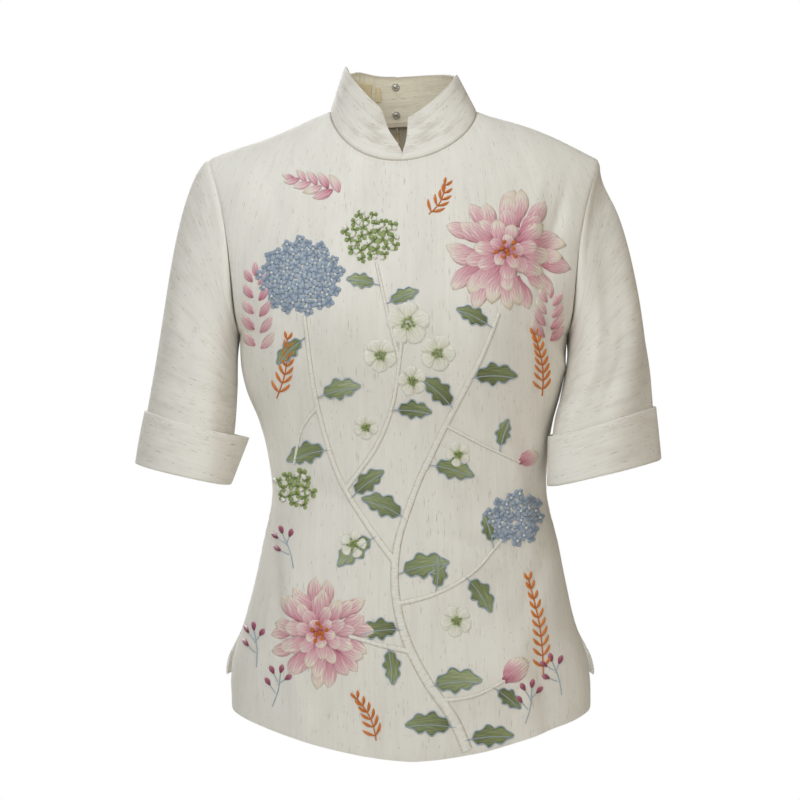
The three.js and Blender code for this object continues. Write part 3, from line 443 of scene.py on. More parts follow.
def top_edge(face, angle):
    """Where a body column ends: on the neckline near the centre, on the shoulder seam beyond it."""
    share = np.sin(np.radians(angle))
    across = np.abs(share)
    hand = np.sign(share)
    turn = np.minimum(across / NECK_SHARE, 1) * (np.pi / 2)
    fall = np.power(np.maximum(0, np.cos(turn)), 1.15)
    neck_x = hand * NECK_HALF_WIDTH * np.sin(turn)
    neck_z = NECK_SIDE_Z - NECK_DROP[face] * fall + hand * NECK_TILT * np.sin(2 * turn)
    neck_y = shoulder_form(face, neck_x, neck_z)
    out = (across - NECK_SHARE) / (1 - NECK_SHARE)
    seam_x = hand * lerp(NECK_HALF_WIDTH, SHOULDER_TIP[0], out)
    neck = vec(neck_x + NECK_SHIFT[face] * np.cos(turn) ** 2, neck_y, neck_z)
    seam = vec(seam_x, SHOULDER_Y, shoulder_z(seam_x))
    return np.where((across <= NECK_SHARE)[..., None], neck, seam)


def hem_z(face, angle):
    across = np.abs(np.sin(np.radians(angle)))
    return HEM_CORNER[face] - HEM_DROP * (1 - np.power(across, HEM_CURVE))


def body_form(face, angle, rise):
    """A smooth point of the front or back. rise is -1 at the hem, 0 at the underarm, 1 at the top."""
    angle, rise = np.broadcast_arrays(np.asarray(angle, float), np.asarray(rise, float))
    share = np.sin(np.radians(angle))
    across = np.abs(share)
    hand = np.sign(share)
    outward = -1 if face == "front" else 1
    seam = outward * SEAM_GAP / 2
    low_z = lerp(UNDERARM_Z, hem_z(face, angle), np.clip(-rise, 0, 1))
    half = column_at(BODY_TABLE, "half_width", low_z)
    bow = column_at(BODY_TABLE, face + "_bow", low_z)
    depth = column_at(BODY_TABLE, face, low_z) * super_ellipse(share, bow)
    parted = smoothstep(SLIT_TOP_Z - low_z, 0, SLIT_TOP_Z - HEM_CORNER[face]) * across ** 8
    low = vec(
        column_at(BODY_TABLE, "centre", low_z) + half * share + hand * SLIT_FLARE[face] * parted,
        seam + outward * (depth + SLIT_PART[face] * parted),
        low_z,
    )
    top = top_edge(face, angle)
    up = np.clip(rise, 0, 1)
    underarm = column_at(BODY_TABLE, "half_width", UNDERARM_Z)
    high_z = lerp(UNDERARM_Z, top[..., 2], up)
    inwards = hand * armhole_hollow(up) * across ** 4
    swing = bump((across - NECK_SHARE) / NECK_CORNER_WIDTH) * np.sqrt(1 - up) * up ** 2
    x = lerp(underarm * share, top[..., 0], up) - inwards + hand * NECK_CORNER_REACH * swing
    centre = column_at(BODY_TABLE, "centre", high_z)
    high = vec(x + centre, seam + shoulder_form(face, x, high_z), high_z)
    return np.where((rise <= 0)[..., None], low, high)


def fold_relief(folds, x, z):
    out = 0
    for fold_x, fold_z, half_length, half_width, lean, depth in folds:
        tilt = math.radians(lean)
        dx = x - fold_x
        dz = z - fold_z
        along = -dx * math.sin(tilt) + dz * math.cos(tilt)
        aside = dx * math.cos(tilt) + dz * math.sin(tilt)
        out = out + depth * bump(aside / half_width) * bump(along / half_length)
    return out


def body_relief(face, p, fine):
    """How far the bust, the folds and the soft creases move a point out of the smooth form."""
    x = p[..., 0] - column_at(BODY_TABLE, "centre", p[..., 2])
    z = p[..., 2]
    out = fold_relief(MAIN_FOLDS[face], x, z)
    if face == "front":
        round_bust = bump((z - BUST["z"]) / BUST["radius"])
        out = out + BUST["reach"] * round_bust * bump((np.abs(x) - BUST["x"]) / BUST["radius"])
    if fine:
        out = out + CREASE_DEPTH * fold_relief(SOFT_CREASES[face], x, z)
        ripple = np.sin(x * 0.061 + z * 0.013) * np.sin(z * 0.047 - x * 0.021 + 1.7)
        out = out + 0.45 * ripple + 0.22 * np.sin(x * 0.15 + 0.6) * np.sin(z * 0.11 + x * 0.05)
    return out


def body_normal(face, angle, rise):
    angle, rise = np.broadcast_arrays(np.asarray(angle, float), np.asarray(rise, float))
    flip = np.where(np.abs(angle) >= 90, np.sign(angle) * NUDGE, 0)
    below = np.maximum(rise - NUDGE, -1)
    above = np.minimum(rise + NUDGE, 1)
    across = body_form(face, angle - flip + NUDGE, rise) - body_form(face, angle - flip - NUDGE, rise)
    up = body_form(face, angle, above) - body_form(face, angle, below)
    normal = unit(np.cross(across, up))
    return normal if face == "front" else -normal


def wall_normal(face, angle, rise):
    """The direction of a panel's thickness where it is sewn to the next piece, at one place."""
    edge = abs(angle) >= 90 - 1e-6
    if rise >= 1 and abs(angle) > NECK_ANGLE - 1e-6:
        x = top_edge(face, np.array(float(angle)))[0]
        out = math.copysign(NUDGE, x)
        slope = (shoulder_z(np.array(x)) - shoulder_z(np.array(x + out))) / out
        return unit(vec(slope, 0, 1))
    near = math.copysign(90 - 0.4, angle) if edge else angle
    normal = body_normal(face, near, min(rise, 1 - 1e-3))
    if edge and rise <= 0 and body_form(face, angle, rise)[2] >= SLIT_TOP_Z:
        normal = normal * np.array([1, 0, 1])
    return unit(normal)


def body_point(face, angle, rise, fine=False):
    p = body_form(face, angle, rise)
    edge = smoothstep(90 - np.abs(angle), 0, 9) * smoothstep(1 - np.asarray(rise, float), 0, 0.1)
    return p + body_normal(face, angle, rise) * (body_relief(face, p, fine) * edge)[..., None]


def back_opening(z):
    """Half the gap between the back's halves, which part a little round the slider's neck."""
    return lerp(ZIP_HALF_GAP, SLIDER_HALF_GAP, bump((z - SLIDER_Z) / SLIDER_REACH))


def half_angles(columns):
    """Column angles of half a panel: even over the neckline, closer together at the side seam."""
    neck_columns = max(8, columns // 4)
    shares = NECK_SHARE * np.arange(neck_columns + 1) / neck_columns
    rest = np.arange(1, columns - neck_columns + 1) / (columns - neck_columns)
    outer = NECK_ANGLE + (90 - NECK_ANGLE) * (1 - np.power(1 - rest, 1.4))
    even = NECK_SHARE + (1 - NECK_SHARE) * rest
    neck = np.degrees(np.arcsin(shares))
    return np.concatenate([neck, outer]), np.concatenate([neck, np.degrees(np.arcsin(even))])


def panel_angles(low, high, rises):
    """Column angles row by row: close together at the side seam, and even along the shoulder."""
    mix = smoothstep(rises, -0.02, 0.3)[:, None]
    shares = lerp(np.sin(np.radians(low))[None, :], np.sin(np.radians(high))[None, :], mix)
    return np.degrees(np.arcsin(np.clip(shares, -1, 1)))


def panel_rises(lower=100, upper=92):
    """Row heights, from the hem to the top edge, closer together at both."""
    hem = np.array([-1, -0.998, -0.994, -0.988])
    low = np.linspace(-0.98, 0, lower, endpoint=False)
    top = 1 - np.power(1 - np.linspace(0, 1, upper), 1.25)
    return np.concatenate([hem, low, top])


def edge_distance(points):
    """Distance of each grid point from the grid's first and last rows and columns."""
    down = walked(points)
    over = walked(points, axis=1)
    return {
        "first_row": down,
        "last_row": down[-1] - down,
        "first_column": over,
        "last_column": over[:, -1:] - over,
    }


def grid_normals(points, around=False):
    if around:
        across = np.roll(points, -1, axis=1) - np.roll(points, 1, axis=1)
    else:
        across = np.gradient(points, axis=1)
    return unit(np.cross(across, np.gradient(points, axis=0)))


# Making meshes


def new_piece(name, bm):
    """An object of its own, made from a bmesh that is then freed."""
    mesh = bpy.data.meshes.new(name)
    bm.to_mesh(mesh)
    bm.free()
    piece = bpy.data.objects.new(name, mesh)
    bpy.context.scene.collection.objects.link(piece)
    return piece


@contextmanager
def opened(mesh):
    """Opens a mesh for bmesh operators and then writes it back."""
    bm = bmesh.new()
    bm.from_mesh(mesh)
    yield bm
    bm.to_mesh(mesh)
    bm.free()


def grid_mesh(name, points, grain, around=False):
    """A flat grid shaped into a sheet. points is in millimetres, row by row, and grain is the
    sheet's own measure across and along the slubs, kept as its UV map in metres."""
    rows, columns = points.shape[:2]
    bm = bmesh.new()
    bmesh.ops.create_grid(bm, x_segments=columns - 1, y_segments=rows - 1, size=0.5)
    piece = new_piece(name, bm)
    mesh = piece.data
    flat = np.empty(len(mesh.vertices) * 3)
    mesh.vertices.foreach_get("co", flat)
    flat = flat.reshape(-1, 3)
    j = np.rint((flat[:, 0] + 0.5) * (columns - 1)).astype(int)
    i = np.rint((flat[:, 1] + 0.5) * (rows - 1)).astype(int)
    mesh.vertices.foreach_set("co", (points[i, j] * MM).astype(np.float32).ravel())
    corner = np.empty(len(mesh.loops), int)
    mesh.loops.foreach_get("vertex_index", corner)
    uv = mesh.uv_layers.new(name="grain")
    uv.data.foreach_set("uv", (grain[i[corner], j[corner]] * MM).astype(np.float32).ravel())
    if around:
        with opened(mesh) as bm:
            bmesh.ops.remove_doubles(bm, verts=bm.verts, dist=MERGE)
    return piece, (i, j)


def face_outwards(piece, inside):
    """Turns the sheet's faces away from a point inside the garment."""
    with opened(piece.data) as bm:
        outward = 0
        for face in bm.faces:
            outward += face.calc_area() * face.normal.dot(face.calc_center_median() - inside)
        if outward < 0:
            bmesh.ops.reverse_faces(bm, faces=bm.faces)


def give_wall(piece, thickness, rim_share=1.0, edge=0.0004, inner_slot=0):
    solid = piece.modifiers.new("wall", "SOLIDIFY")
    solid.thickness = thickness
    solid.offset = 0
    solid.use_quality_normals = True
    solid.material_offset = inner_slot
    if rim_share < 1:
        solid.vertex_group = "doubled"
        solid.thickness_vertex_group = rim_share
    if edge:
        bevel = piece.modifiers.new("edge", "BEVEL")
        bevel.width = edge
        bevel.segments = 2
        bevel.limit_method = "ANGLE"
        bevel.angle_limit = math.radians(50)
    piece.data.shade_smooth()


def weight_doubled(piece, grid_index, weights):
    """Marks where the cloth is turned in, as a vertex group."""
    group = piece.vertex_groups.new(name="doubled")
    i, j = grid_index
    values = weights[i, j]
    for level in range(0, 11):
        chosen = np.nonzero(np.rint(values * 10).astype(int) == level)[0]
        if len(chosen):
            group.add(chosen.tolist(), level / 10, "REPLACE")


def mark_seam_shadow(piece, grid_index, closeness):
    """Keeps how near each point lies to a sewn edge, from 0 to 1, for the painted shadow in the seam."""
    layer = piece.data.attributes.new("seam", "FLOAT", "POINT")
    i, j = grid_index
    layer.data.foreach_set("value", np.clip(closeness, 0, 1)[i, j].astype(np.float32))


def finish_piece(piece, finishes, nodes=()):
    """Gives a piece its finishes by name and its body, and hides the frame's nodes that it replaces."""
    for name in finishes:
        piece.data.materials.append(bpy.data.materials[name])
    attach(piece, GARMENT)
    if nodes:
        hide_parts(*nodes)


# Materials


# Uneven yarns: width and length of a cell in metres, the pattern's place, detail and roughness
YARNS = {
    "soft": (0.0024, 0.075, 3.0, 3.0, 0.55),
    "fine": (0.0008, 0.012, 11.0, 3.0, 0.55),
    "cloudy": (0.035, 0.12, 23.0, 3.0, 0.55),
    "smoky": (0.009, 0.05, 41.0, 4.0, 0.6),
}
# Dark slubs, long, short and knotted: width and length of a cell in metres, the pattern's place,
# and the share of cells that stay plain
SLUBS = [
    (0.0009, 0.014, 5.0, 0.965),
    (0.0008, 0.0065, 17.0, 0.968),
    (0.0012, 0.0022, 29.0, 0.992),
]
SLUB_FADE = 2.6
SLUB_CORE = 1.15
SLUB_SHARE = 0.62
STREAK_SWING = 0.55
STREAK_SHADE = 0.30
FINE_SWING = 0.30
CLOUD_SWING = 0.14
SMOKE_SWING = 3.2
SMOKE_START = 1.55
SMOKY_YARN = (0.50, 0.41, 0.34, 1)
# Painted seam shadow: the brown that the cloth is painted near a sewn edge, its strength and how fast it
# fades
SEAM_SHADOW_BROWN = (0.30, 0.21, 0.14, 1)
SEAM_SHADE = 0.55
SEAM_SHADE_FADE = 2.5
WEAVE = 0.0042

# The linens: setting of their colour, strength of streaks and slubs, and share of smoky yarn
LINENS = {
    "slubbed_linen": ("linen", 0.16, 1.0, 0.12),
    "sleeve_linen": ("linen", 0.22, 1.35, 0.25),
    "collar_linen": ("linen", 0.3, 1.2, 0.55),
    "collar_inside": ("inside", 0.4, 0.8, 0.3),
}
TAPES = {"zip_tape": (0.80, 0.72, 0.56), "label_tape": (0.95, 0.80, 0.50)}
# Metals: colour and roughness
METALS = {
    "nickel": ((0.62, 0.60, 0.55), 0.28),
    "dull_nickel": ((0.50, 0.48, 0.44), 0.36),
}
# Silk threads: how far the shades interlock, and their stops from a motif's root to its tip
THREADS = {
    "ivory_thread": (0.2, [
        (0.1, (0.36, 0.25, 0.15)), (0.35, (0.74, 0.66, 0.50)),
        (0.55, (0.93, 0.89, 0.78)), (0.75, (1.0, 0.985, 0.93)),
    ]),
    "rose_thread": (0.5, [
        (0.0, (0.45, 0.10, 0.17)), (0.28, (0.68, 0.29, 0.36)), (0.55, (0.82, 0.52, 0.55)),
        (0.78, (0.90, 0.80, 0.70)), (1.0, (0.80, 0.70, 0.52)),
    ]),
    "orange_thread": (0.34, [
        (0.0, (0.40, 0.09, 0.01)), (0.5, (0.72, 0.21, 0.03)), (1.0, (0.84, 0.36, 0.09)),
    ]),
    "blue_thread": (0.34, [
        (0.0, (0.22, 0.29, 0.40)), (0.4, (0.38, 0.46, 0.57)),
        (0.7, (0.51, 0.58, 0.67)), (1.0, (0.72, 0.77, 0.81)),
    ]),
    "white_thread": (0.34, [
        (0.0, (0.48, 0.56, 0.28)), (0.25, (0.84, 0.83, 0.68)), (1.0, (0.96, 0.95, 0.90)),
    ]),
    "lime_thread": (0.34, [
        (0.0, (0.14, 0.20, 0.05)), (0.5, (0.34, 0.44, 0.15)), (1.0, (0.62, 0.70, 0.36)),
    ]),
    "green_thread": (0.6, [
        (0.0, (0.13, 0.15, 0.05)), (0.45, (0.29, 0.35, 0.16)), (1.0, (0.60, 0.65, 0.42)),
    ]),
    "outline_thread": (0.34, [
        (0.2, (0.33, 0.42, 0.50)), (0.6, (0.48, 0.57, 0.64)), (1.0, (0.66, 0.72, 0.77)),
    ]),
    "maroon_thread": (0.34, [
        (0.0, (0.20, 0.03, 0.08)), (0.5, (0.38, 0.09, 0.17)), (1.0, (0.62, 0.28, 0.36)),
    ]),
}
THREAD_PITCH = 0.0006
STITCH_WIDTH = 0.0013
STITCH_LENGTH = 0.012


def node(tree, kind, **inputs):
    made = tree.nodes.new(kind)
    for key, value in inputs.items():
        name = key.replace("_", " ")
        if isinstance(value, bpy.types.NodeSocket):
            tree.links.new(value, made.inputs[name])
        else:
            made.inputs[name].default_value = value
    return made


def math_node(tree, operation, *values, clamp=False):
    made = tree.nodes.new("ShaderNodeMath")
    made.operation = operation
    made.use_clamp = clamp
    for socket, value in zip(made.inputs, values):
        if isinstance(value, bpy.types.NodeSocket):
            tree.links.new(value, socket)
        else:
            socket.default_value = value
    return made.outputs[0]


def mix_colour(tree, share, first, second, blend="MIX"):
    made = tree.nodes.new("ShaderNodeMix")
    made.data_type = "RGBA"
    made.blend_type = blend
    for name, value in (("Factor_Float", share), ("A_Color", first), ("B_Color", second)):
        socket = next(s for s in made.inputs if s.identifier == name)
        if isinstance(value, bpy.types.NodeSocket):
            tree.links.new(value, socket)
        else:
            socket.default_value = value
    return next(s for s in made.outputs if s.identifier == "Result_Color")


def attribute(tree, name):
    made = tree.nodes.new("ShaderNodeAttribute")
    made.attribute_name = name
    return made.outputs["Fac"]


def new_material(name, **finish):
    """A material with one shader, whose own sockets get the values of the finish."""
    material = bpy.data.materials.new(name)
    material.use_nodes = True
    tree = material.node_tree
    tree.nodes.clear()
    shader = node(tree, "ShaderNodeBsdfPrincipled", **finish)
    out = tree.nodes.new("ShaderNodeOutputMaterial")
    tree.links.new(shader.outputs[0], out.inputs["Surface"])
    return tree, shader


def add_relief(tree, shader, height, strength, depth):
    """Lets a pattern stand out of the surface by a depth in metres."""
    relief = node(tree, "ShaderNodeBump", Height=height, Strength=strength, Distance=depth)
    tree.links.new(relief.outputs[0], shader.inputs["Normal"])


def scaled_grain(tree, across, along, seed):
    """The sheet's grain measured in cells of a given width and length in metres."""
    uv = tree.nodes.new("ShaderNodeUVMap")
    uv.uv_map = "grain"
    mapping = node(
        tree, "ShaderNodeMapping", Vector=uv.outputs[0],
        Scale=(1 / across, 1 / along, 1), Location=(seed, seed * 1.7, 0),
    )
    return mapping.outputs[0]


def yarn_pattern(tree, across, along, seed, detail, roughness):
    noise = node(
        tree, "ShaderNodeTexNoise", Vector=scaled_grain(tree, across, along, seed),
        Scale=1.0, Detail=detail, Roughness=roughness,
    )
    noise.noise_dimensions = "2D"
    return noise.outputs[0]


def slub_mask(tree, across, along, seed, rarity):
    """Thin streaks along the grain: a few cells of a stretched pattern, fading at their rims."""
    cells = node(tree, "ShaderNodeTexVoronoi", Vector=scaled_grain(tree, across, along, seed), Scale=1.0)
    cells.voronoi_dimensions = "2D"
    pick = tree.nodes.new("ShaderNodeSeparateColor")
    tree.links.new(cells.outputs["Color"], pick.inputs[0])
    chosen = math_node(tree, "GREATER_THAN", pick.outputs[0], rarity)
    near = math_node(
        tree, "MULTIPLY_ADD", cells.outputs["Distance"], -SLUB_FADE, SLUB_CORE, clamp=True,
    )
    strength = math_node(tree, "MULTIPLY", pick.outputs[1], near)
    return math_node(tree, "MULTIPLY", chosen, strength)


def linen_material(name, colour, slub, streak, slubs, blush):
    """Slubbed linen and silk: fine uneven yarns, long soft streaks and scattered dark slubs."""
    tree, shader = new_material(
        name, Roughness=0.82, Specular_IOR_Level=0.28, Sheen_Weight=0.12, Sheen_Roughness=0.45,
    )
    yarns = {yarn: yarn_pattern(tree, *values) for yarn, values in YARNS.items()}
    tone = math_node(
        tree, "MULTIPLY_ADD", yarns["soft"], STREAK_SWING * streak, 1 - STREAK_SHADE * streak,
    )
    for yarn, swing in (("fine", FINE_SWING * streak), ("cloudy", CLOUD_SWING)):
        change = math_node(tree, "MULTIPLY_ADD", yarns[yarn], swing, -swing / 2)
        tone = math_node(tree, "ADD", tone, change)
    plain = mix_colour(tree, 1.0, (*colour, 1), tone, "MULTIPLY")
    smoke = math_node(
        tree, "MULTIPLY_ADD", yarns["smoky"], SMOKE_SWING * blush, -SMOKE_START * blush, clamp=True,
    )
    plain = mix_colour(tree, smoke, plain, SMOKY_YARN)
    masks = [slub_mask(tree, *values) for values in SLUBS]
    marks = math_node(tree, "MAXIMUM", math_node(tree, "MAXIMUM", masks[0], masks[1]), masks[2])
    share = math_node(tree, "MULTIPLY", marks, SLUB_SHARE * slubs, clamp=True)
    slubbed = mix_colour(tree, share, plain, (*slub, 1))
    # Painted seam shadow: the cloth turns brown near sewn edges, where shade falls in the seam
    seam = math_node(tree, "POWER", attribute(tree, "seam"), SEAM_SHADE_FADE)
    shaded = math_node(tree, "MULTIPLY", seam, SEAM_SHADE)
    tree.links.new(mix_colour(tree, shaded, slubbed, SEAM_SHADOW_BROWN), shader.inputs["Base Color"])
    waves = []
    for direction in ("X", "Y"):
        square = scaled_grain(tree, WEAVE, WEAVE, 0.0)
        wave = node(tree, "ShaderNodeTexWave", Vector=square, Scale=1.0, Distortion=0.6)
        wave.bands_direction = direction
        waves.append(wave.outputs[1])
    height = math_node(tree, "MULTIPLY_ADD", math_node(tree, "MULTIPLY", *waves), 0.35, yarns["fine"])
    height = math_node(tree, "MULTIPLY_ADD", marks, 0.8, height)
    add_relief(tree, shader, height, 0.55, 0.00035)


def thread_material(name, mix, stops):
    """Satin-stitched silk: shades that interlock like long and short stitches, threads side by side."""
    tree, shader = new_material(
        name, Roughness=0.42, Sheen_Weight=0.2, Sheen_Roughness=0.3, Specular_IOR_Level=0.5,
    )
    across = attribute(tree, "across")
    place = node(tree, "ShaderNodeCombineXYZ", X=across, Y=attribute(tree, "along"))
    cells = (1 / STITCH_WIDTH, 1 / STITCH_LENGTH, 1)
    lengths = node(tree, "ShaderNodeMapping", Vector=place.outputs[0], Scale=cells)
    stitches = node(
        tree, "ShaderNodeTexNoise", Vector=lengths.outputs[0], Scale=1.0, Detail=1.0, Roughness=0.5,
    ).outputs[0]
    shifted = math_node(tree, "MULTIPLY_ADD", stitches, mix, attribute(tree, "shade"))
    shifted = math_node(tree, "ADD", shifted, -mix / 2)
    ramp = tree.nodes.new("ShaderNodeValToRGB")
    elements = ramp.color_ramp.elements
    for element, (position, colour) in zip(elements, (stops[0], stops[-1])):
        element.position = position
        element.color = (*colour, 1)
    for position, colour in stops[1:-1]:
        elements.new(position).color = (*colour, 1)
    tree.links.new(shifted, ramp.inputs[0])
    # Painted glint: each stitch is made lighter or darker at random, standing in for the silk catching the
    # light
    painted_glint = math_node(tree, "MULTIPLY_ADD", stitches, 0.5, 0.75)
    colour = mix_colour(tree, 1.0, ramp.outputs[0], painted_glint, "MULTIPLY")
    tree.links.new(colour, shader.inputs["Base Color"])
    thread = math_node(tree, "SINE", math_node(tree, "MULTIPLY", across, 2 * math.pi / THREAD_PITCH))
    add_relief(tree, shader, math_node(tree, "MULTIPLY_ADD", thread, 0.4, stitches), 0.6, 0.0003)


def speckled(tree, shader, colour, size, detail, swing):
    """Lets the base colour's tone vary a little. Returns the places and the pattern that it reads."""
    place = tree.nodes.new("ShaderNodeTexCoord").outputs["Object"]
    pattern = node(tree, "ShaderNodeTexNoise", Vector=place, Scale=size, Detail=detail).outputs[0]
    tone = math_node(tree, "MULTIPLY_ADD", pattern, swing, 1 - swing / 2)
    tree.links.new(mix_colour(tree, 1.0, (*colour, 1), tone, "MULTIPLY"), shader.inputs["Base Color"])
    return place, pattern


def tape_material(name, colour):
    tree, shader = new_material(name, Roughness=0.75)
    place, _ = speckled(tree, shader, colour, 300.0, 2.0, 0.2)
    ribs = node(tree, "ShaderNodeTexWave", Vector=place, Scale=420.0, Distortion=1.5)
    ribs.bands_direction = "DIAGONAL"
    add_relief(tree, shader, ribs.outputs[1], 0.5, 0.0002)


def metal_material(name, colour, roughness):
    tree, shader = new_material(name, Metallic=1.0)
    _, soft = speckled(tree, shader, colour, 900.0, 3.0, 0.3)
    worn = math_node(tree, "MULTIPLY_ADD", soft, 0.25, roughness)
    tree.links.new(worn, shader.inputs["Roughness"])


class GARMENT_OT_materials(bpy.types.Operator):
    """Mix the finishes of the cloth, thread, tape and metal"""

    bl_idname = "garment.materials"
    bl_label = "Finishes"

    def execute(self, context):
        cloth = context.scene.garment_cloth
        for name, (colour, *strengths) in LINENS.items():
            linen_material(name, tuple(getattr(cloth, colour)), tuple(cloth.slub), *strengths)
        for name, (mix, stops) in THREADS.items():
            thread_material(name, mix, stops)
        for name, colour in TAPES.items():
            tape_material(name, colour)
        for name, (colour, roughness) in METALS.items():
            metal_material(name, colour, roughness)
        return {"FINISHED"}


# The body


def panel_grain(points, middle):
    """Distances across from the middle column and along the panel, in millimetres."""
    over = walked(points, axis=1)
    return np.stack([over - over[:, [middle]], walked(points)], -1)


def body_panel(name, face, columns, open_edge, context):
    """One panel of the body: its seams roll in, and its hem and slit edges are turned under."""
    cloth = context.scene.garment_cloth
    rises = panel_rises()
    angles = panel_angles(*columns, rises)
    points = body_point(face, angles, rises[:, None], fine=True)
    normals = body_normal(face, angles, np.minimum(rises, 1 - 1e-3)[:, None])
    count = angles.shape[1]
    if open_edge:
        column = 0 if open_edge > 0 else count - 1
        share = np.abs(np.arange(count) - column) / (count - 1)
        fade = np.power(1 - share, 30)
        points[..., 0] += open_edge * back_opening(points[:, column, 2])[:, None] * fade[None, :]
    away = edge_distance(points)
    sewn = 1 - smoothstep(SLIT_TOP_Z - points[..., 2], -6, 4)
    sides = (away["first_column"], away["last_column"])
    roll = -SEAM_ROLL * bump(away["last_row"] / 1.7)
    for side in sides:
        roll = roll - SEAM_ROLL * bump(side / 1.7) * sewn - EDGE_ROLL * bump(side / 1.4) * (1 - sewn)
    roll = roll - EDGE_ROLL * bump(away["first_row"] / 1.5)
    place = points[..., 2] + points[..., 0] * 0.4
    pucker = 0.16 * np.sin(place * 0.9) + 0.12 * np.sin(place * 0.37 + 1)
    seam_near = bump((away["last_row"] - SEAM_ROOM) / SEAM_ROOM)
    for side in sides:
        seam_near = seam_near + bump((side - SEAM_ROOM) / SEAM_ROOM) * sewn
    hem_line = cloth.hem / MM
    step = HEM_STEP * (1 - smoothstep(away["first_row"], hem_line - 1.5, hem_line + 1.5))
    stitched = 0.6 + 0.4 * np.sin(points[..., 0] * 0.55)
    dimple = -HEM_DIMPLE * bump((away["first_row"] - hem_line) / 1.3) * stitched
    points = points + normals * (roll + pucker * np.minimum(seam_near, 1) + step + dimple)[..., None]
    grain = panel_grain(points, {1: 0, 0: count // 2, -1: count - 1}[open_edge])
    piece, index = grid_mesh(name + "_cloth", points, grain)
    face_outwards(piece, MIDDLE)
    turned = 1 - smoothstep(away["first_row"], hem_line - 1, hem_line + 1)
    for side in sides:
        turned = np.maximum(turned, (1 - sewn) * (1 - smoothstep(side, *SLIT_TURNING)))
    weight_doubled(piece, index, turned)
    # Painted seam shadow along the top seams, fainter along the side seams
    mark_seam_shadow(piece, index, np.maximum(1 - away["last_row"] / SEAM_SHADE_REACH, 0.35 * seam_near))
    give_wall(piece, cloth.wall * DOUBLED, rim_share=1 / DOUBLED)
    finish_piece(piece, ["slubbed_linen"], nodes=[name])
    return piece


class GARMENT_OT_body(bpy.types.Operator):
    """Cut the front and the two halves of the back"""

    bl_idname = "garment.body"
    bl_label = "Body panels"

    def execute(self, context):
        half = half_angles(context.scene.garment_cloth.columns)
        mirrored = [-angles[:0:-1] for angles in half]
        whole = [np.concatenate(pair) for pair in zip(mirrored, half)]
        front = body_panel("front", "front", whole, 0, context)
        left = body_panel("back_left", "back", half, 1, context)
        other = [np.append(angles, 0) for angles in mirrored]
        right = body_panel("back_right", "back", other, -1, context)
        return {"FINISHED"}


# Sleeves and cuffs


def armhole_frames(sleeve):
    """The armhole's edge, from the shoulder tip down the front to the underarm and up the back."""
    side = sleeve["side"]
    frames = []
    order = [("front", rise) for rise in reversed(EDGE_RISES)]
    order += [("back", rise) for rise in EDGE_RISES[1:-1]]
    for face, rise in order:
        angle = side * 90.0
        point = body_point(face, angle, rise)
        normal = wall_normal(face, angle, rise)
        above = body_point(face, angle, min(rise + NUDGE, 1))
        run = unit(above - body_point(face, angle, max(rise - NUDGE, 0)))
        along = unit(np.cross(run, normal))
        if np.dot(along, body_point(face, side * 86.0, rise) - point) > 0:
            along = -along
        frames.append({"face": face, "rise": rise, "point": point, "normal": normal, "along": along})
    tip = frames[0]
    tip["normal"] = unit(tip["normal"] * np.array([1, 0, 1]))
    tip["along"] = unit(vec(tip["normal"][2] * side, 0, -tip["normal"][0] * side))
    tip["point"][1] = SHOULDER_Y
    underarm = frames[len(EDGE_RISES) - 1]
    underarm["normal"] = vec(side, 0, 0)
    underarm["along"] = vec(0, 0, 1)
    underarm["point"][1] = 0
    return frames


def fine_armhole(sleeve, per_side=46):
    """The armhole's edge at close steps: true points, with directions eased between the frames."""
    frames = armhole_frames(sleeve)
    front = frames[:len(EDGE_RISES)]
    back = [frames[len(EDGE_RISES) - 1], *frames[len(EDGE_RISES):], frames[0]]
    rises = 1 - np.power(1 - np.linspace(0, 1, per_side), 1.7)
    made = {"point": [], "normal": [], "along": [], "rise": []}
    runs = (("front", front, rises[::-1]), ("back", back, rises[1:-1]))
    for face, part, steps in runs:
        known = np.array([f["rise"] for f in part])
        if face == "back":
            known[0] = 0
            known[-1] = 1
        order = np.argsort(known)
        for rise in steps:
            point = body_point(face, sleeve["side"] * 90.0, float(rise))
            level = smoothstep(rise, 0, 0.06) * (1 - smoothstep(rise, 0.995, 1))
            target = SHOULDER_Y if rise > 0.5 else 0
            point[1] = lerp(target, point[1], level)
            made["point"].append(point)
            made["rise"].append(rise)
            for key in ("normal", "along"):
                values = np.array([f[key] for f in part])
                eased = [np.interp(rise, known[order], values[order, k]) for k in range(3)]
                made[key].append(unit(np.array(eased)))
    made = {key: np.array(values) for key, values in made.items()}
    way = walked(made["point"])
    low = way[per_side - 1]
    whole = way[-1] + np.linalg.norm(made["point"][-1] - made["point"][0])
    made["angle"] = np.where(way <= low, 180 * way / low, 180 + 180 * (way - low) / (whole - low))
    share = np.power(1 - made["rise"], SLEEVE_EASE)
    leave = np.radians(lerp(sleeve["leaves_at_tip"], SLEEVE_LEAVES_UNDERARM, share))[:, None]
    made["leaves"] = made["along"] * np.cos(leave) + made["normal"] * np.sin(leave)
    return made


def seam_start(point, normal, along, leaves, thickness):
    """Where the next piece's wall starts, clear of the edge of the wall that it is sewn to."""
    turn = np.arctan2((leaves * normal).sum(-1), (leaves * along).sum(-1))
    beside = np.square(np.sin(turn / 2)) * np.sign(turn)
    away = 0.05 + thickness / 2 * np.abs(np.sin(turn))
    return point + along * away[..., None] + normal * (beside * (thickness + 0.05))[..., None]


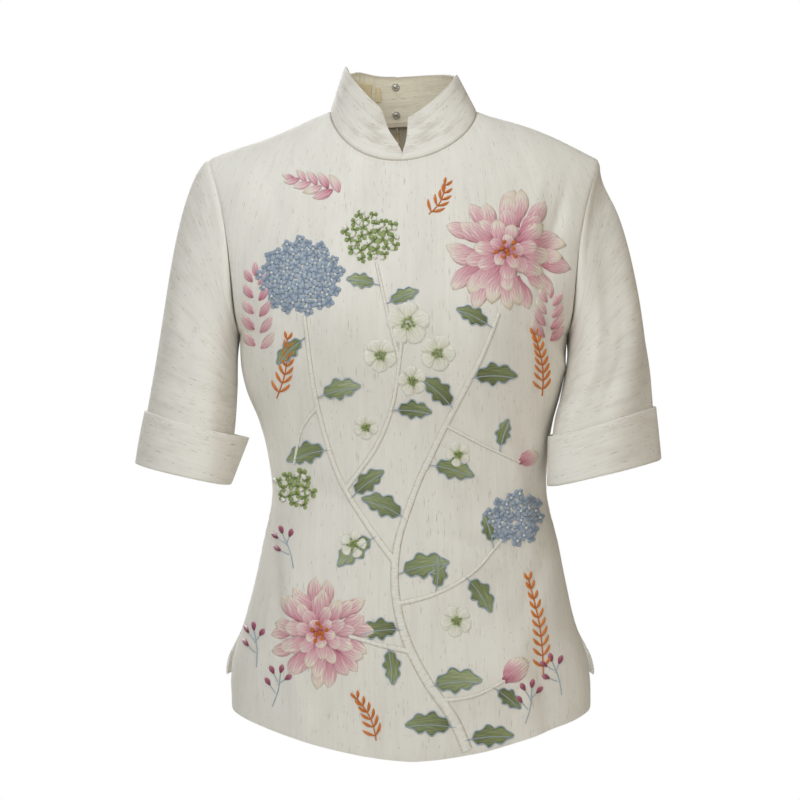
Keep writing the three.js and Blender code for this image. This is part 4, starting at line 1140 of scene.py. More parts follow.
def tube_point(sleeve, around, down):
    """A point of the sleeve's lower tube; around is in degrees from the outer side, by the front."""
    sections = table(SECTION_COLUMNS, sleeve["sections"])
    around, down = np.broadcast_arrays(np.asarray(around, float), np.asarray(down, float))
    z = lerp(sections["z"][0], sections["z"][-1], down)
    turn = np.radians(column_at(sections, "turn", z))
    a = np.radians(around)
    out = column_at(sections, "half_width", z) * np.cos(a)
    forward = column_at(sections, "half_depth", z) * np.sin(a)
    x = out * np.cos(turn) - forward * np.sin(turn)
    y = -(forward * np.cos(turn) + out * np.sin(turn))
    middle_x = column_at(sections, "x", z)
    middle_y = column_at(sections, "y", z)
    rise = column_at(sections, "rise", z)
    return vec(sleeve["side"] * (middle_x + x), middle_y + y, z + x * rise)


def angle_between(a, b):
    return np.abs(np.mod(a - b + 180, 360) - 180)


def sleeve_relief(sleeve, around, length):
    out = 0
    for side, at, half_width, first, last, depth in SLEEVE_FOLDS:
        if side == sleeve["side"]:
            begun = smoothstep(length, first, first + 0.25)
            ended = smoothstep(length, last - 0.15, last + 0.12)
            across = bump(angle_between(around, at) / half_width)
            out = out + depth * (begun * (1 - ended)) * across
    for side, at, half_width, place, half_length, depth in SLEEVE_DENTS:
        if side == sleeve["side"]:
            across = bump(angle_between(around, at) / half_width)
            out = out + depth * bump((length - place) / half_length) * across
    return out


def sleeve_grid(sleeve, hem_cut, head_rows=62, arm_rows=34):
    edge = fine_armhole(sleeve)
    start = seam_start(edge["point"], edge["normal"], edge["along"], edge["leaves"], CLOTH)
    end = tube_point(sleeve, edge["angle"], 0)
    reach = np.linalg.norm(end - start, axis=1)[:, None]
    down = unit(tube_point(sleeve, edge["angle"], 0.1) - end)
    head = []
    shares = np.power(np.linspace(0, 1, head_rows), 1.35)
    for t in shares:
        t2 = t * t
        t3 = t2 * t
        row = start * (2 * t3 - 3 * t2 + 1) + end * (3 * t2 - 2 * t3)
        row = row + edge["leaves"] * (t3 - 2 * t2 + t) * reach * HEAD_PULL_START
        head.append(row + down * (t3 - t2) * reach * HEAD_PULL_END)
    arm_shares = np.arange(1, arm_rows + 1) / arm_rows
    arm = [tube_point(sleeve, edge["angle"], hem_cut * share) for share in arm_shares]
    points = np.array(head + arm)
    lengths = np.concatenate([shares * HEAD_SHARE, HEAD_SHARE + (1 - HEAD_SHARE) * arm_shares])
    normals = grid_normals(points, around=True) * sleeve["side"]
    relief = sleeve_relief(sleeve, edge["angle"][None, :], lengths[:, None])
    turn = np.radians(edge["angle"])[None, :]
    below_head = smoothstep(lengths, 0.15, 0.4)[:, None]
    relief = relief + 0.3 * np.sin(turn * 5 + lengths[:, None] * 9) * below_head
    away = walked(points)
    roping = 0.5 * bump((away - 5) / 3.5) - 1.0 * bump(away / 1.6)
    pucker = 0.2 * bump((away - 6) / 6) * np.sin(turn * 46)
    return points + normals * (relief + roping + pucker)[..., None]


def closed_round(values):
    """Repeats the first column after the last, so that a grid closes on itself."""
    return np.concatenate([values, values[:, :1]], axis=1)


def sleeve_grain(points):
    """Grain of the sleeve's tube, whose slubs run round it: measured down it and round it."""
    over = walked(points, axis=1).mean(0)
    down = walked(points).mean(1)
    return np.stack(np.broadcast_arrays(down[:, None], over[None, :]), -1)


class GARMENT_OT_sleeves(bpy.types.Operator):
    """Set the two sleeves into the armholes"""

    bl_idname = "garment.sleeves"
    bl_label = "Sleeves"

    def execute(self, context):
        cloth = context.scene.garment_cloth
        for name, sleeve in SLEEVES.items():
            length = np.linalg.norm(tube_point(sleeve, 90, 0) - tube_point(sleeve, 90, 1))
            points = closed_round(sleeve_grid(sleeve, 1 - (CUFF_CLOTH + SEAM_GAP) / length))
            piece, _ = grid_mesh(f"sleeve_{name}_cloth", points, sleeve_grain(points), around=True)
            face_outwards(piece, Vector(points.mean((0, 1))) * MM)
            give_wall(piece, cloth.wall)
            finish_piece(piece, ["sleeve_linen"], nodes=[f"sleeve_{name}"])
        return {"FINISHED"}


def cuff_section(name, inside):
    """The cuff's closed section: distances out from the sleeve's middle and heights."""
    half = CLOTH / 2 + SEAM_GAP
    outer, inner = CUFF_STAND_OFF[name]
    low = half + CUFF_BOTTOM_STAND_OFF
    high = half + lerp(outer, inner, inside)
    ups = np.array([0.06, 0.14, 0.24, 0.36, 0.5, 0.64, 0.78, 0.9, 0.97])
    belly = 0.35 * np.sin(ups * np.pi)
    rim = CUFF_HEIGHT
    inner_wall = [(lerp(low, high, up) + sag, up * rim) for up, sag in zip(ups, belly)]
    outer_wall = [(lerp(low, high, up) + sag + 1.7, up * rim) for up, sag in zip(ups, belly)]
    top = [(high + 0.1, rim - 0.5), (high + 0.45, rim), (high + 1.2, rim + 0.05), (high + 1.65, rim - 0.5)]
    fold = [
        (low + 1.75, 1.6), (low + 1.5, 0.75), (low + 0.7, 0.15),
        (-half + 0.2, 0), (-half - 0.8, 0.2), (-half - 1.35, 0.9), (-half - 1.45, 2.2),
    ]
    turned = [(-half - 1.4, CUFF_TURN_UP - 0.4), (-half - 1.0, CUFF_TURN_UP), (-half - 0.2, CUFF_TURN_UP)]
    back_in = [(-half, CUFF_TURN_UP - 0.6), (-half, CUFF_CLOTH + 0.2), (low - 0.1, CUFF_CLOTH)]
    return inner_wall + top + outer_wall[::-1] + fold + turned + back_in


def cuff_points(name, sleeve, angles):
    half_step = 0.5

    def tube(around, down):
        p = tube_point(sleeve, around, down)
        across = tube_point(sleeve, around + half_step, down) - tube_point(sleeve, around - half_step, down)
        fall = tube_point(sleeve, around, down + 0.01) - p
        normal = unit(np.cross(across, fall))
        if np.dot(normal, p - tube_point(sleeve, around + 180, down)) < 0:
            normal = -normal
        relief = sleeve_relief(sleeve, around, lerp(HEAD_SHARE, 1, down))
        return p + normal * relief, normal, np.linalg.norm(fall)

    rings = []
    for around in angles:
        inside = max(0.0, -math.cos(math.radians(around))) ** 1.5
        _, _, fall = tube(around, 1)
        wave = 0.35 * math.sin(math.radians(around) * 3 + 0.7) + 0.2 * math.sin(math.radians(around) * 7)
        ring = []
        for out, height in cuff_section(name, inside):
            p, normal, _ = tube(around, 1 - height * 0.01 / fall)
            lift = wave * smoothstep(height, CUFF_HEIGHT / 2, CUFF_HEIGHT) if out > 0.5 else 0
            ring.append(p + normal * (out + lift))
        rings.append(ring)
    return np.array(rings)


class GARMENT_OT_cuffs(bpy.types.Operator):
    """Turn the cuffs back over the sleeves' ends"""

    bl_idname = "garment.cuffs"
    bl_label = "Cuffs"

    def execute(self, context):
        for name, sleeve in SLEEVES.items():
            angles = np.arange(0, 360, 3.0)
            points = cuff_points(name, sleeve, angles)
            points = closed_round(np.concatenate([points, points[:1]]))
            piece, _ = grid_mesh(f"cuff_{name}_cloth", points, panel_grain(points, 0), around=True)
            with opened(piece.data) as bm:
                if bm.calc_volume(signed=True) < 0:
                    bmesh.ops.reverse_faces(bm, faces=bm.faces)
            piece.data.shade_smooth()
            finish_piece(piece, ["sleeve_linen"], nodes=[f"cuff_{name}"])
        return {"FINISHED"}


# Collar


def neckline_at(side, step):
    face = "front" if step <= NECK_STEPS else "back"
    from_centre = step if step <= NECK_STEPS else BACK_STEP - step
    share = NECK_SHARE * from_centre / NECK_STEPS
    angle = side * math.degrees(math.asin(min(share, NECK_SHARE)))
    point = body_point(face, angle, 1.0)
    if step == NECK_STEPS:
        point[1] = SHOULDER_Y
    return point, wall_normal(face, angle, 1)


def neckline_frame(name, step):
    """Directions at a whole step of the neckline: along the cloth, out of it, and up the collar."""
    half = COLLAR_HALVES[name]
    side = half["side"]
    point, normal = neckline_at(side, step)
    before = neckline_at(side, max(step - 1, 0))[0]
    after = neckline_at(side, min(step + 1, BACK_STEP))[0]
    run = unit(after - before)
    if step in (0, BACK_STEP):
        run = vec(side * (-1 if step else 1), 0, 0)
    along = unit(np.cross(run, normal))
    if along[2] < 0:
        along = -along
    normal = unit(np.cross(along, run))
    turn = step / BACK_STEP * math.pi
    radial = unit(vec(side * math.sin(turn) * NECK_REACH, -math.cos(turn) * NECK_HALF_WIDTH, 0))
    if np.dot(normal, radial) < 0:
        normal = -normal
    tip = math.radians(lerp(half["lean"], COLLAR_BACK_LEAN, float(smoothstep(step, NECK_STEPS, BACK_STEP))))
    leaves = vec(0, 0, math.cos(tip)) - radial * math.sin(tip)
    leaves = unit(leaves - run * np.dot(leaves, run))
    out = unit(np.cross(leaves, run))
    if np.dot(out, radial) < 0:
        out = -out
    return {"point": point, "normal": normal, "along": along, "leaves": leaves, "out": out}


def smooth_between(values, steps):
    """Values at whole steps, joined by a smooth curve and read at any step."""
    values = np.array(values)
    steps = np.asarray(steps, float)
    last = len(values) - 1
    k = np.clip(np.floor(steps).astype(int), 0, last - 1)
    t = (steps - k)[..., None]
    a = values[np.maximum(k - 1, 0)]
    b = values[k]
    c = values[k + 1]
    d = values[np.minimum(k + 2, last)]
    square = (2 * a - 5 * b + 4 * c - d) * t ** 2
    cube = (3 * b - a - 3 * c + d) * t ** 3
    return 0.5 * (2 * b + (c - a) * t + square + cube)


def collar_frames(name, steps):
    whole = [neckline_frame(name, step) for step in range(BACK_STEP + 1)]
    made = {key: smooth_between([f[key] for f in whole], steps) for key in whole[0]}
    for key in ("normal", "along", "leaves", "out"):
        made[key] = unit(made[key])
    return made


def collar_points(name, steps, heights):
    """Points in the middle of the collar's cloth, at steps along the neck and heights above it."""
    frames = collar_frames(name, steps)
    seam = seam_start(frames["point"], frames["normal"], frames["along"], frames["leaves"], COLLAR_CLOTH)
    points = seam + frames["leaves"] * np.asarray(heights, float)[..., None]
    points[..., 0] += COLLAR_SWAY * np.asarray(heights) / COLLAR_HEIGHT
    return points, frames["out"]


def collar_height(name, steps, from_front):
    half = COLLAR_HALVES[name]
    inner = np.clip(from_front / half["corner"], 0, 1)
    corner = super_ellipse(1 - inner, half["round"])
    by, at, width = half["rise"]
    full = COLLAR_HEIGHT + by * bump((steps - at) / width)
    return lerp(COLLAR_FRONT_HEIGHT, full, corner)


def collar_steps():
    front = np.power(np.linspace(0, 1, 34), 1.7) * 3
    return np.concatenate([front, np.linspace(3, BACK_STEP, 84)[1:]])


class GARMENT_OT_collar(bpy.types.Operator):
    """Stand the two halves of the collar on the neckline"""

    bl_idname = "garment.collar"
    bl_label = "Collar"

    def execute(self, context):
        for name, half in COLLAR_HALVES.items():
            steps = collar_steps()
            seam, _ = collar_points(name, steps, np.zeros(len(steps)))
            over = walked(seam)
            full = collar_height(name, steps, over)
            shares = 1 - np.power(1 - np.linspace(0, 1, 26), 1.25)
            rows = [collar_points(name, steps, full * share) for share in shares]
            points = np.array([row[0] for row in rows])
            outs = np.array([row[1] for row in rows])
            points[:, 0, 0] += half["side"] * COLLAR_END_GAP / 2
            points[:, -1, 0] += half["side"] * COLLAR_BACK_GAP / 2
            away = edge_distance(points)
            relief = -0.55 * bump(away["last_row"] / 1.5) - 0.7 * bump(away["first_row"] / 1.5)
            relief = relief - 0.35 * bump(away["first_column"] / 1.3)
            height = shares[:, None] * full[None, :]
            for at, width, depth in COLLAR_GATHERS:
                relief = relief + depth * bump((steps[None, :] - at) / width) * smoothstep(height, 0, 18)
            relief = relief + 0.3 * np.sin(steps[None, :] * 1.9) * np.sin(height * 0.07)
            points = points + outs * relief[..., None]
            grain = np.stack([height, np.broadcast_to(over, height.shape)], -1)
            # Painted shade along the neck seam, fainter along the collar's top edge
            low_shade = 1 - away["first_row"] / SEAM_SHADE_REACH
            rim_shade = 0.6 * (1 - away["last_row"] / SEAM_SHADE_REACH)
            shade = np.vstack([np.ones((2, len(steps))), np.maximum(low_shade, rim_shade)])
            points, grain = self.turn_in_seam(points, outs, grain)
            piece, index = grid_mesh(f"collar_{name}_cloth", points, grain)
            mark_seam_shadow(piece, index, shade)
            face_outwards(piece, COLLAR_MIDDLE)
            give_wall(piece, COLLAR_CLOTH * MM * COLLAR_FULLNESS, edge=0.0007, inner_slot=1)
            finish_piece(piece, ["collar_linen", "collar_inside"], nodes=[f"collar_{name}"])
        return {"FINISHED"}

    def turn_in_seam(self, points, outs, grain):
        """Adds the seam allowance that turns down behind the neckline."""
        rows = []
        for share in (1, 0.5):
            down = unit(points[0] - points[1]) * COLLAR_SEAM_ALLOWANCE * share
            rows.append(points[0] + down - outs[0] * 1.6 * share)
        added = np.stack([grain[0] - np.array([COLLAR_SEAM_ALLOWANCE * share, 0]) for share in (1, 0.5)])
        return np.concatenate([np.array(rows), points]), np.concatenate([added, grain])


class GARMENT_OT_patches(bpy.types.Operator):
    """Sew the bare label and tab inside the collar"""

    bl_idname = "garment.patches"
    bl_label = "Label and tab"

    def execute(self, context):
        for name, (first, last, low, high) in PATCHES.items():
            steps = np.linspace(first, last, 22)
            heights = np.linspace(low, high, 18)
            points = []
            for height in heights:
                row, out = collar_points("right", steps, np.full(len(steps), height))
                points.append(row - out * (COLLAR_CLOTH / 2 + PATCH_GAP + PATCH_THICK / 2))
            points = np.array(points)
            away = edge_distance(points)
            _, out = collar_points("right", steps, heights[:1])
            near = np.minimum.reduce(list(away.values()))
            dip = 0.25 * bump((near - 1.1) / 0.5)
            points = points + out[None] * dip[..., None]
            piece, _ = grid_mesh(name + "_tape", points, panel_grain(points, 0))
            face_outwards(piece, COLLAR_MIDDLE)
            give_wall(piece, PATCH_THICK * MM * TAPE_FULLNESS, edge=TAPE_EDGE)
            finish_piece(piece, ["label_tape"], nodes=[name])
        return {"FINISHED"}


# Fastenings


def revolve(bm, profile, steps):
    """A round shape from a profile of (radius, height) points, about the z axis."""
    verts = [bm.verts.new((radius, 0, height)) for radius, height in profile]
    edges = [bm.edges.new(pair) for pair in zip(verts, verts[1:])]
    bmesh.ops.spin(
        bm, geom=verts + edges, cent=(0, 0, 0), axis=(0, 0, 1), angle=2 * math.pi,
        steps=steps, use_merge=True,
    )
    bmesh.ops.remove_doubles(bm, verts=bm.verts, dist=1e-6)
    bmesh.ops.recalc_face_normals(bm, faces=bm.faces)


class GARMENT_OT_snaps(bpy.types.Operator):
    """Sew the press studs inside the collar's back edges"""

    bl_idname = "garment.snaps"
    bl_label = "Press studs"

    def execute(self, context):
        radius = SNAP_RADIUS * MM
        thick = SNAP_THICK * MM
        profile = [
            (0, 0), (radius * 0.96, 0), (radius, thick * 0.12), (radius, thick * 0.36),
            (radius * 0.9, thick * 0.56), (radius * 0.74, thick * 0.62), (radius * 0.6, thick * 0.5),
            (radius * 0.5, thick * 0.56), (radius * 0.42, thick * 0.86), (radius * 0.3, thick), (0, thick),
        ]
        for name, height in SNAP_HEIGHTS.items():
            p, out = collar_points("right", np.array([float(BACK_STEP)]), np.array([float(height)]))
            middle = Vector(p[0] - out[0] * (COLLAR_CLOTH / 2 + SNAP_CLEAR)) * MM
            middle.x -= SNAP_ASIDE * MM
            turn = Vector(-out[0]).to_track_quat("Z", "Y").to_matrix().to_4x4()
            bm = bmesh.new()
            revolve(bm, profile, 40)
            for k in range(SNAP_STITCHES):
                a = 2 * math.pi * (k + 0.5) / SNAP_STITCHES
                made = bmesh.ops.create_uvsphere(bm, u_segments=8, v_segments=5, radius=radius * 0.2)
                bmesh.ops.scale(bm, vec=(1, 1, 0.5), verts=made["verts"])
                place = Vector((math.cos(a) * radius * 0.82, math.sin(a) * radius * 0.82, thick * 0.5))
                bmesh.ops.translate(bm, vec=place, verts=made["verts"])
            bmesh.ops.transform(bm, matrix=turn, verts=bm.verts)
            bmesh.ops.translate(bm, vec=middle, verts=bm.verts)
            piece = new_piece(name + "_stud", bm)
            piece.data.shade_smooth()
            finish_piece(piece, ["nickel"], nodes=[name])
        return {"FINISHED"}


def back_rise_at(z):
    hem = float(hem_z("back", np.array(0.0)))
    top = float(top_edge("back", np.array(0.0))[2])
    low = -(UNDERARM_Z - z) / (UNDERARM_Z - hem)
    high = (z - UNDERARM_Z) / (top - UNDERARM_Z)
    return np.where(z <= UNDERARM_Z, low, high)


def zip_line(z):
    """Points and outward directions down the centre back."""
    rise = back_rise_at(np.asarray(z, float))
    return body_point("back", 0.0, rise), body_normal("back", 0.0, rise)


class GARMENT_OT_zip(bpy.types.Operator):
    """Sew the zip into the centre back, with its tapes, teeth, slider and pull"""

    bl_idname = "garment.zip"
    bl_label = "Zip"

    def execute(self, context):
        heights = np.linspace(ZIP_END_Z, ZIP_TOP_Z, 90)
        middle, normal = zip_line(heights)
        for name, side in (("zip_tape_left", 1), ("zip_tape_right", -1)):
            near = np.maximum(COIL_ROOM, back_opening(heights) + SEAM_GAP)
            columns = []
            for share in np.linspace(0, 1, 9):
                x = lerp(near, TAPE_WIDTH, share)
                p = body_point("back", side * TAPE_ANGLE * x / TAPE_WIDTH, back_rise_at(heights))
                p[:, 0] = middle[:, 0] + side * x
                columns.append(p - normal * (CLOTH / 2 + SEAM_GAP + TAPE_THICK / 2))
            points = np.stack(columns, 1)
            piece, _ = grid_mesh(name + "_woven", points, panel_grain(points, 0))
            face_outwards(piece, MIDDLE)
            give_wall(piece, TAPE_THICK * MM * TAPE_FULLNESS, edge=TAPE_EDGE)
            finish_piece(piece, ["zip_tape"], nodes=[name])
        self.make_teeth()
        self.dress_slider()
        return {"FINISHED"}

    def make_teeth(self):
        count = int((ZIP_TOP_Z - LAST_TOOTH - ZIP_END_Z) / TOOTH_PITCH)
        bm = bmesh.new()
        for k in range(count):
            z = ZIP_END_Z + FIRST_TOOTH + k * TOOTH_PITCH
            for side in (1, -1):
                place, out = zip_line(z + (TOOTH_PITCH / 2 if side > 0 else 0))
                parted = float(back_opening(z)) - ZIP_HALF_GAP
                at = place - out * (CLOTH / 2 + SEAM_GAP + TAPE_THICK + TOOTH_DEPTH)
                at[0] += side * (parted + TOOTH_ASIDE)
                made = bmesh.ops.create_cube(bm, size=1)
                bmesh.ops.scale(bm, vec=Vector(TOOTH) * MM, verts=made["verts"])
                bmesh.ops.translate(bm, vec=Vector(at) * MM, verts=made["verts"])
        piece = new_piece("zip_teeth", bm)
        bevel = piece.modifiers.new("round", "BEVEL")
        bevel.width = 0.00022
        bevel.segments = 2
        piece.data.shade_smooth()
        finish_piece(piece, ["label_tape"])

    def dress_slider(self):
        for name, material in (("zip_slider", "dull_nickel"), ("zip_pull", "nickel")):
            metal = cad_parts[name]
            metal.data.materials.clear()
            metal.data.materials.append(bpy.data.materials[material])


# Embroidery


GOLDEN_ANGLE = 137.5
STITCH_CLEAR = 0.1
THREAD_WALL = 0.00045
# Teeth along a ragged leaf: their turns from root to tip and their share of its width
LEAF_TEETH = 20
LEAF_LOBES = 0.24
LEAF_BLUNT = 0.82
LEAF_STALK = 7
SPRIG_LENGTH = 34
SPRIG_STALK = 9


def step_out(place, turn, away):
    """The place at a distance from another, turn degrees clockwise from straight up."""
    a = math.radians(turn)
    return place[0] + away * math.sin(a), place[1] + away * math.cos(a)


def fullness(v, blunt):
    """Width of a petal along its length, from nothing at its root and tip to 1."""
    return math.sin(math.pi * min(1.0, v ** blunt)) ** 0.75 if v > 0 else 0


class Needle:
    """Lays raised stitches on the front. Places are (x, z) in millimetres."""

    def __init__(self):
        graph = bpy.context.evaluated_depsgraph_get()
        self.tree = BVHTree.FromObject(bpy.data.objects["front_cloth"], graph)

    @contextmanager
    def piece(self, name, thread):
        """Gathers stitches in one thread, and finishes them as a piece."""
        self.bm = bmesh.new()
        layers = self.bm.verts.layers.float
        self.layers = [layers.new(layer) for layer in ("across", "along", "shade")]
        yield
        self.bm.normal_update()
        if sum(face.normal.y for face in self.bm.faces) > 0:
            bmesh.ops.reverse_faces(self.bm, faces=self.bm.faces)
        piece = new_piece(name, self.bm)
        solid = piece.modifiers.new("thread", "SOLIDIFY")
        solid.thickness = THREAD_WALL
        solid.offset = -1
        piece.data.shade_smooth()
        finish_piece(piece, [thread])

    def patch(self, rows, columns, shape):
        """One raised patch. shape gives, for u across from -1 to 1 and v along from 0 to 1, its
        place, height, distance across and along in millimetres, and shade."""
        made = bmesh.ops.create_grid(self.bm, x_segments=columns, y_segments=rows, size=1)
        for vert in made["verts"]:
            u = vert.co.x
            v = (vert.co.y + 1) / 2
            x, z, height, across, along, shade = shape(u, v)
            point, normal, _, _ = self.tree.ray_cast(Vector((x * MM, -0.5, z * MM)), Vector((0, 1, 0)))
            if point is None:
                raise ValueError(f"a stitch at x {x:.0f}, z {z:.0f} lies off the cloth")
            vert.co = point + normal * (height * MM)
            for layer, value in zip(self.layers, (across * MM, along * MM, shade)):
                vert[layer] = value

    def petal(self, at, turn, length, width, bend=0.0, blunt=0.5, lift=1.0, layer=0.0, shades=(0, 1),
              waist=0.15, rows=8, columns=6, ragged=0.0):
        """A satin-stitched petal or leaf. turn is in degrees from straight up, clockwise."""

        def shape(u, v):
            half = width / 2 * max(fullness(v, blunt), waist * (1 - v) + 0.04)
            half *= 1 + ragged * math.sin(v * LEAF_TEETH)
            spine = step_out(at, turn + bend * v / 2, length * v)
            x, z = step_out(spine, turn + bend * v + 90, u * half)
            rise = lift * math.sqrt(max(0, 1 - u * u)) * (0.35 + 0.65 * min(1, 6 * v * (1 - v) + 0.15))
            return x, z, STITCH_CLEAR + layer + rise, u * half, v * length, lerp(*shades, v)

        self.patch(rows, columns, shape)

    def cord(self, places, width, lift, stitch=1.6, taper=1.0, shade=0.5, columns=4, layer=0.0):
        """A raised line of stitches laid side by side across a route."""
        route = smooth_between(places, np.linspace(0, len(places) - 1, 24 * len(places)))
        way = walked(route)
        count = max(2, int(way[-1] / stitch)) * 2
        wanted = np.linspace(0, way[-1], count + 1)
        xs = np.interp(wanted, way, route[:, 0])
        zs = np.interp(wanted, way, route[:, 1])
        dx = np.gradient(xs)
        dz = np.gradient(zs)

        def shape(u, v):
            k = min(count, int(round(v * count)))
            full = k % 2
            run = math.hypot(dx[k], dz[k]) or 1
            half = width / 2 * lerp(1, taper, v) * (1.0 if full else 0.86)
            x = xs[k] + u * half * dz[k] / run
            z = zs[k] - u * half * dx[k] / run
            rise = lift * math.sqrt(max(0, 1 - u * u)) * (1.0 if full else 0.72)
            # Painted shade between stitches: the lower stitches between the full ones are painted darker,
            # darkest at their ends by the needle holes
            needle_hole_shade = 0.5 * u ** 4 * (1 - full)
            tone = shade + 0.12 * full - needle_hole_shade
            return x, z, STITCH_CLEAR + layer + rise, wanted[k], u * half, tone

        self.patch(count, columns, shape)

    def knot(self, at, radius, lift, shade=0.5, layer=0.0):
        def shape(u, v):
            w = 2 * v - 1
            x = u * math.sqrt(1 - w * w / 2)
            y = w * math.sqrt(1 - u * u / 2)
            edge = min(1.0, x * x + y * y)
            height = STITCH_CLEAR + layer + (lift * math.sqrt(1 - edge) if edge < 1 else 0)
            return at[0] + x * radius, at[1] + y * radius, height, math.atan2(y, x) * radius, edge, shade

        self.patch(6, 6, shape)


# The branch: its limbs as routes of (x, z) places, with their widths at the root and the tip
BRANCH = [
    (
        [(60, -621), (46, -590), (22, -556), (2, -516), (-8, -472), (-6, -428), (8, -384), (22, -350)],
        12.0, 0.55,
    ),
    ([(20, -356), (38, -318), (58, -280), (76, -244), (90, -208)], 7.6, 0.6),
    ([(-7, -446), (-34, -410), (-60, -368), (-76, -322), (-86, -276), (-94, -210)], 7.2, 0.6),
    ([(-56, -376), (-26, -334), (-10, -292), (-2, -236)], 5.6, 0.7),
    ([(6, -528), (-22, -522), (-52, -514)], 6.0, 0.7),
    ([(40, -314), (74, -332), (112, -350)], 4.4, 0.6),
    ([(-8, -484), (30, -474), (66, -454), (94, -424)], 5.4, 0.6),
    ([(34, -574), (66, -570), (96, -556)], 4.6, 0.6),
    ([(-4, -252), (-14, -214), (-26, -160)], 4.4, 0.75),
    ([(-82, -296), (-98, -318), (-106, -352)], 4.0, 0.7),
]
# Peonies: middle, radius and turn
PEONIES = [((98, -148), 60, 20), ((-80, -512), 50, -35)]
# Rings of a peony's petals: their number, distance of the roots, length and width, as shares
PEONY_RINGS = [
    (13, 0.44, 0.60, 0.27), (11, 0.34, 0.56, 0.31), (9, 0.22, 0.50, 0.32), (7, 0.12, 0.40, 0.31),
    (5, 0.04, 0.28, 0.26),
]
# Closed peony buds: root, turn and length, and the lean of each of their petals
PEONY_BUDS = [((96, -556), 48, 30), ((112, -350), 70, 22)]
BUD_LEANS = (-34, 34, -17, 17, 0)
# Round heads of many small florets: middle, radius and turn
FLORET_HEADS = [((-98, -172), 42, 8), ((108, -404), 29, -20)]
GREEN_HEADS = [((-32, -134), 28, 0), ((-104, -376), 21, 30)]
# Five-petalled blossoms: middle, radius and turn
BLOSSOMS = [
    ((4, -218), 21, 0), ((-22, -248), 16, 40), ((32, -246), 17, 20), ((8, -272), 14, 60),
    ((-36, -316), 12, 33), ((52, -342), 12, 50), ((-48, -428), 13, 12), ((50, -500), 15, 44),
]
# Leaves: root, turn, length, width and bend
LEAVES = [
    ((24, -562), 70, 44, 20, 30), ((0, -508), -84, 36, 17, -24), ((-6, -456), 66, 44, 20, 26),
    ((2, -404), -52, 40, 18, -30), ((24, -352), 96, 38, 17, 20), ((48, -300), -34, 36, 17, -24),
    ((62, -270), 74, 40, 18, 30), ((84, -222), -54, 32, 14, -20), ((-26, -420), -118, 40, 18, -24),
    ((-50, -384), 40, 34, 16, 24), ((-70, -338), -92, 38, 18, -30), ((-82, -288), 64, 36, 17, 26),
    ((-92, -230), -124, 32, 14, -18), ((-12, -300), 84, 32, 15, 22), ((58, -458), 132, 36, 17, 28),
    ((86, -432), -8, 28, 13, -18), ((50, -600), -76, 42, 19, -26), ((58, -612), 78, 40, 17, 20),
    ((84, -562), 122, 28, 13, 16), ((-18, -200), 62, 28, 12, 14), ((-22, -182), -72, 26, 12, -16),
    ((92, -340), 8, 26, 12, 18), ((30, -474), 14, 28, 13, -20), ((-16, -521), 164, 32, 14, 18),
]
# Berry twigs: root, turn, length and number of pairs
TWIGS = [
    ((134, -556), -8, 96, 10), ((-26, -612), -24, 44, 6), ((-122, -288), 12, 58, 7),
    ((134, -286), -8, 60, 8), ((24, -112), 30, 34, 5),
]
# Bud sprigs by the slits: root and turn. Their buds: share of the stalk's length and lean
SPRIGS = [
    ((-126, -584), 14), ((152, -574), -16), ((-142, -548), -6), ((116, -598), 10), ((-106, -452), -20),
]
SPRIG_BUDS = [(1.0, 0), (0.72, -42), (0.66, 40), (0.4, -50)]
# Sprays of pink leaflets by the armholes: root, turn, length and number of pairs
SPRAYS = [((-140, -248), -2, 84, 5), ((138, -238), 4, 50, 4), ((-60, -92), -70, 52, 4)]


class GARMENT_OT_branch(bpy.types.Operator):
    """Embroider the ivory branch and the leaf stalks"""

    bl_idname = "garment.branch"
    bl_label = "Branch"

    def execute(self, context):
        stitch = context.scene.garment_thread.stitch / MM
        needle = Needle()
        with needle.piece("branch_stitches", "ivory_thread"):
            for route, width, taper in BRANCH:
                needle.cord(route, width, 1.5, stitch=stitch, taper=taper, shade=0.62, columns=6)
        return {"FINISHED"}


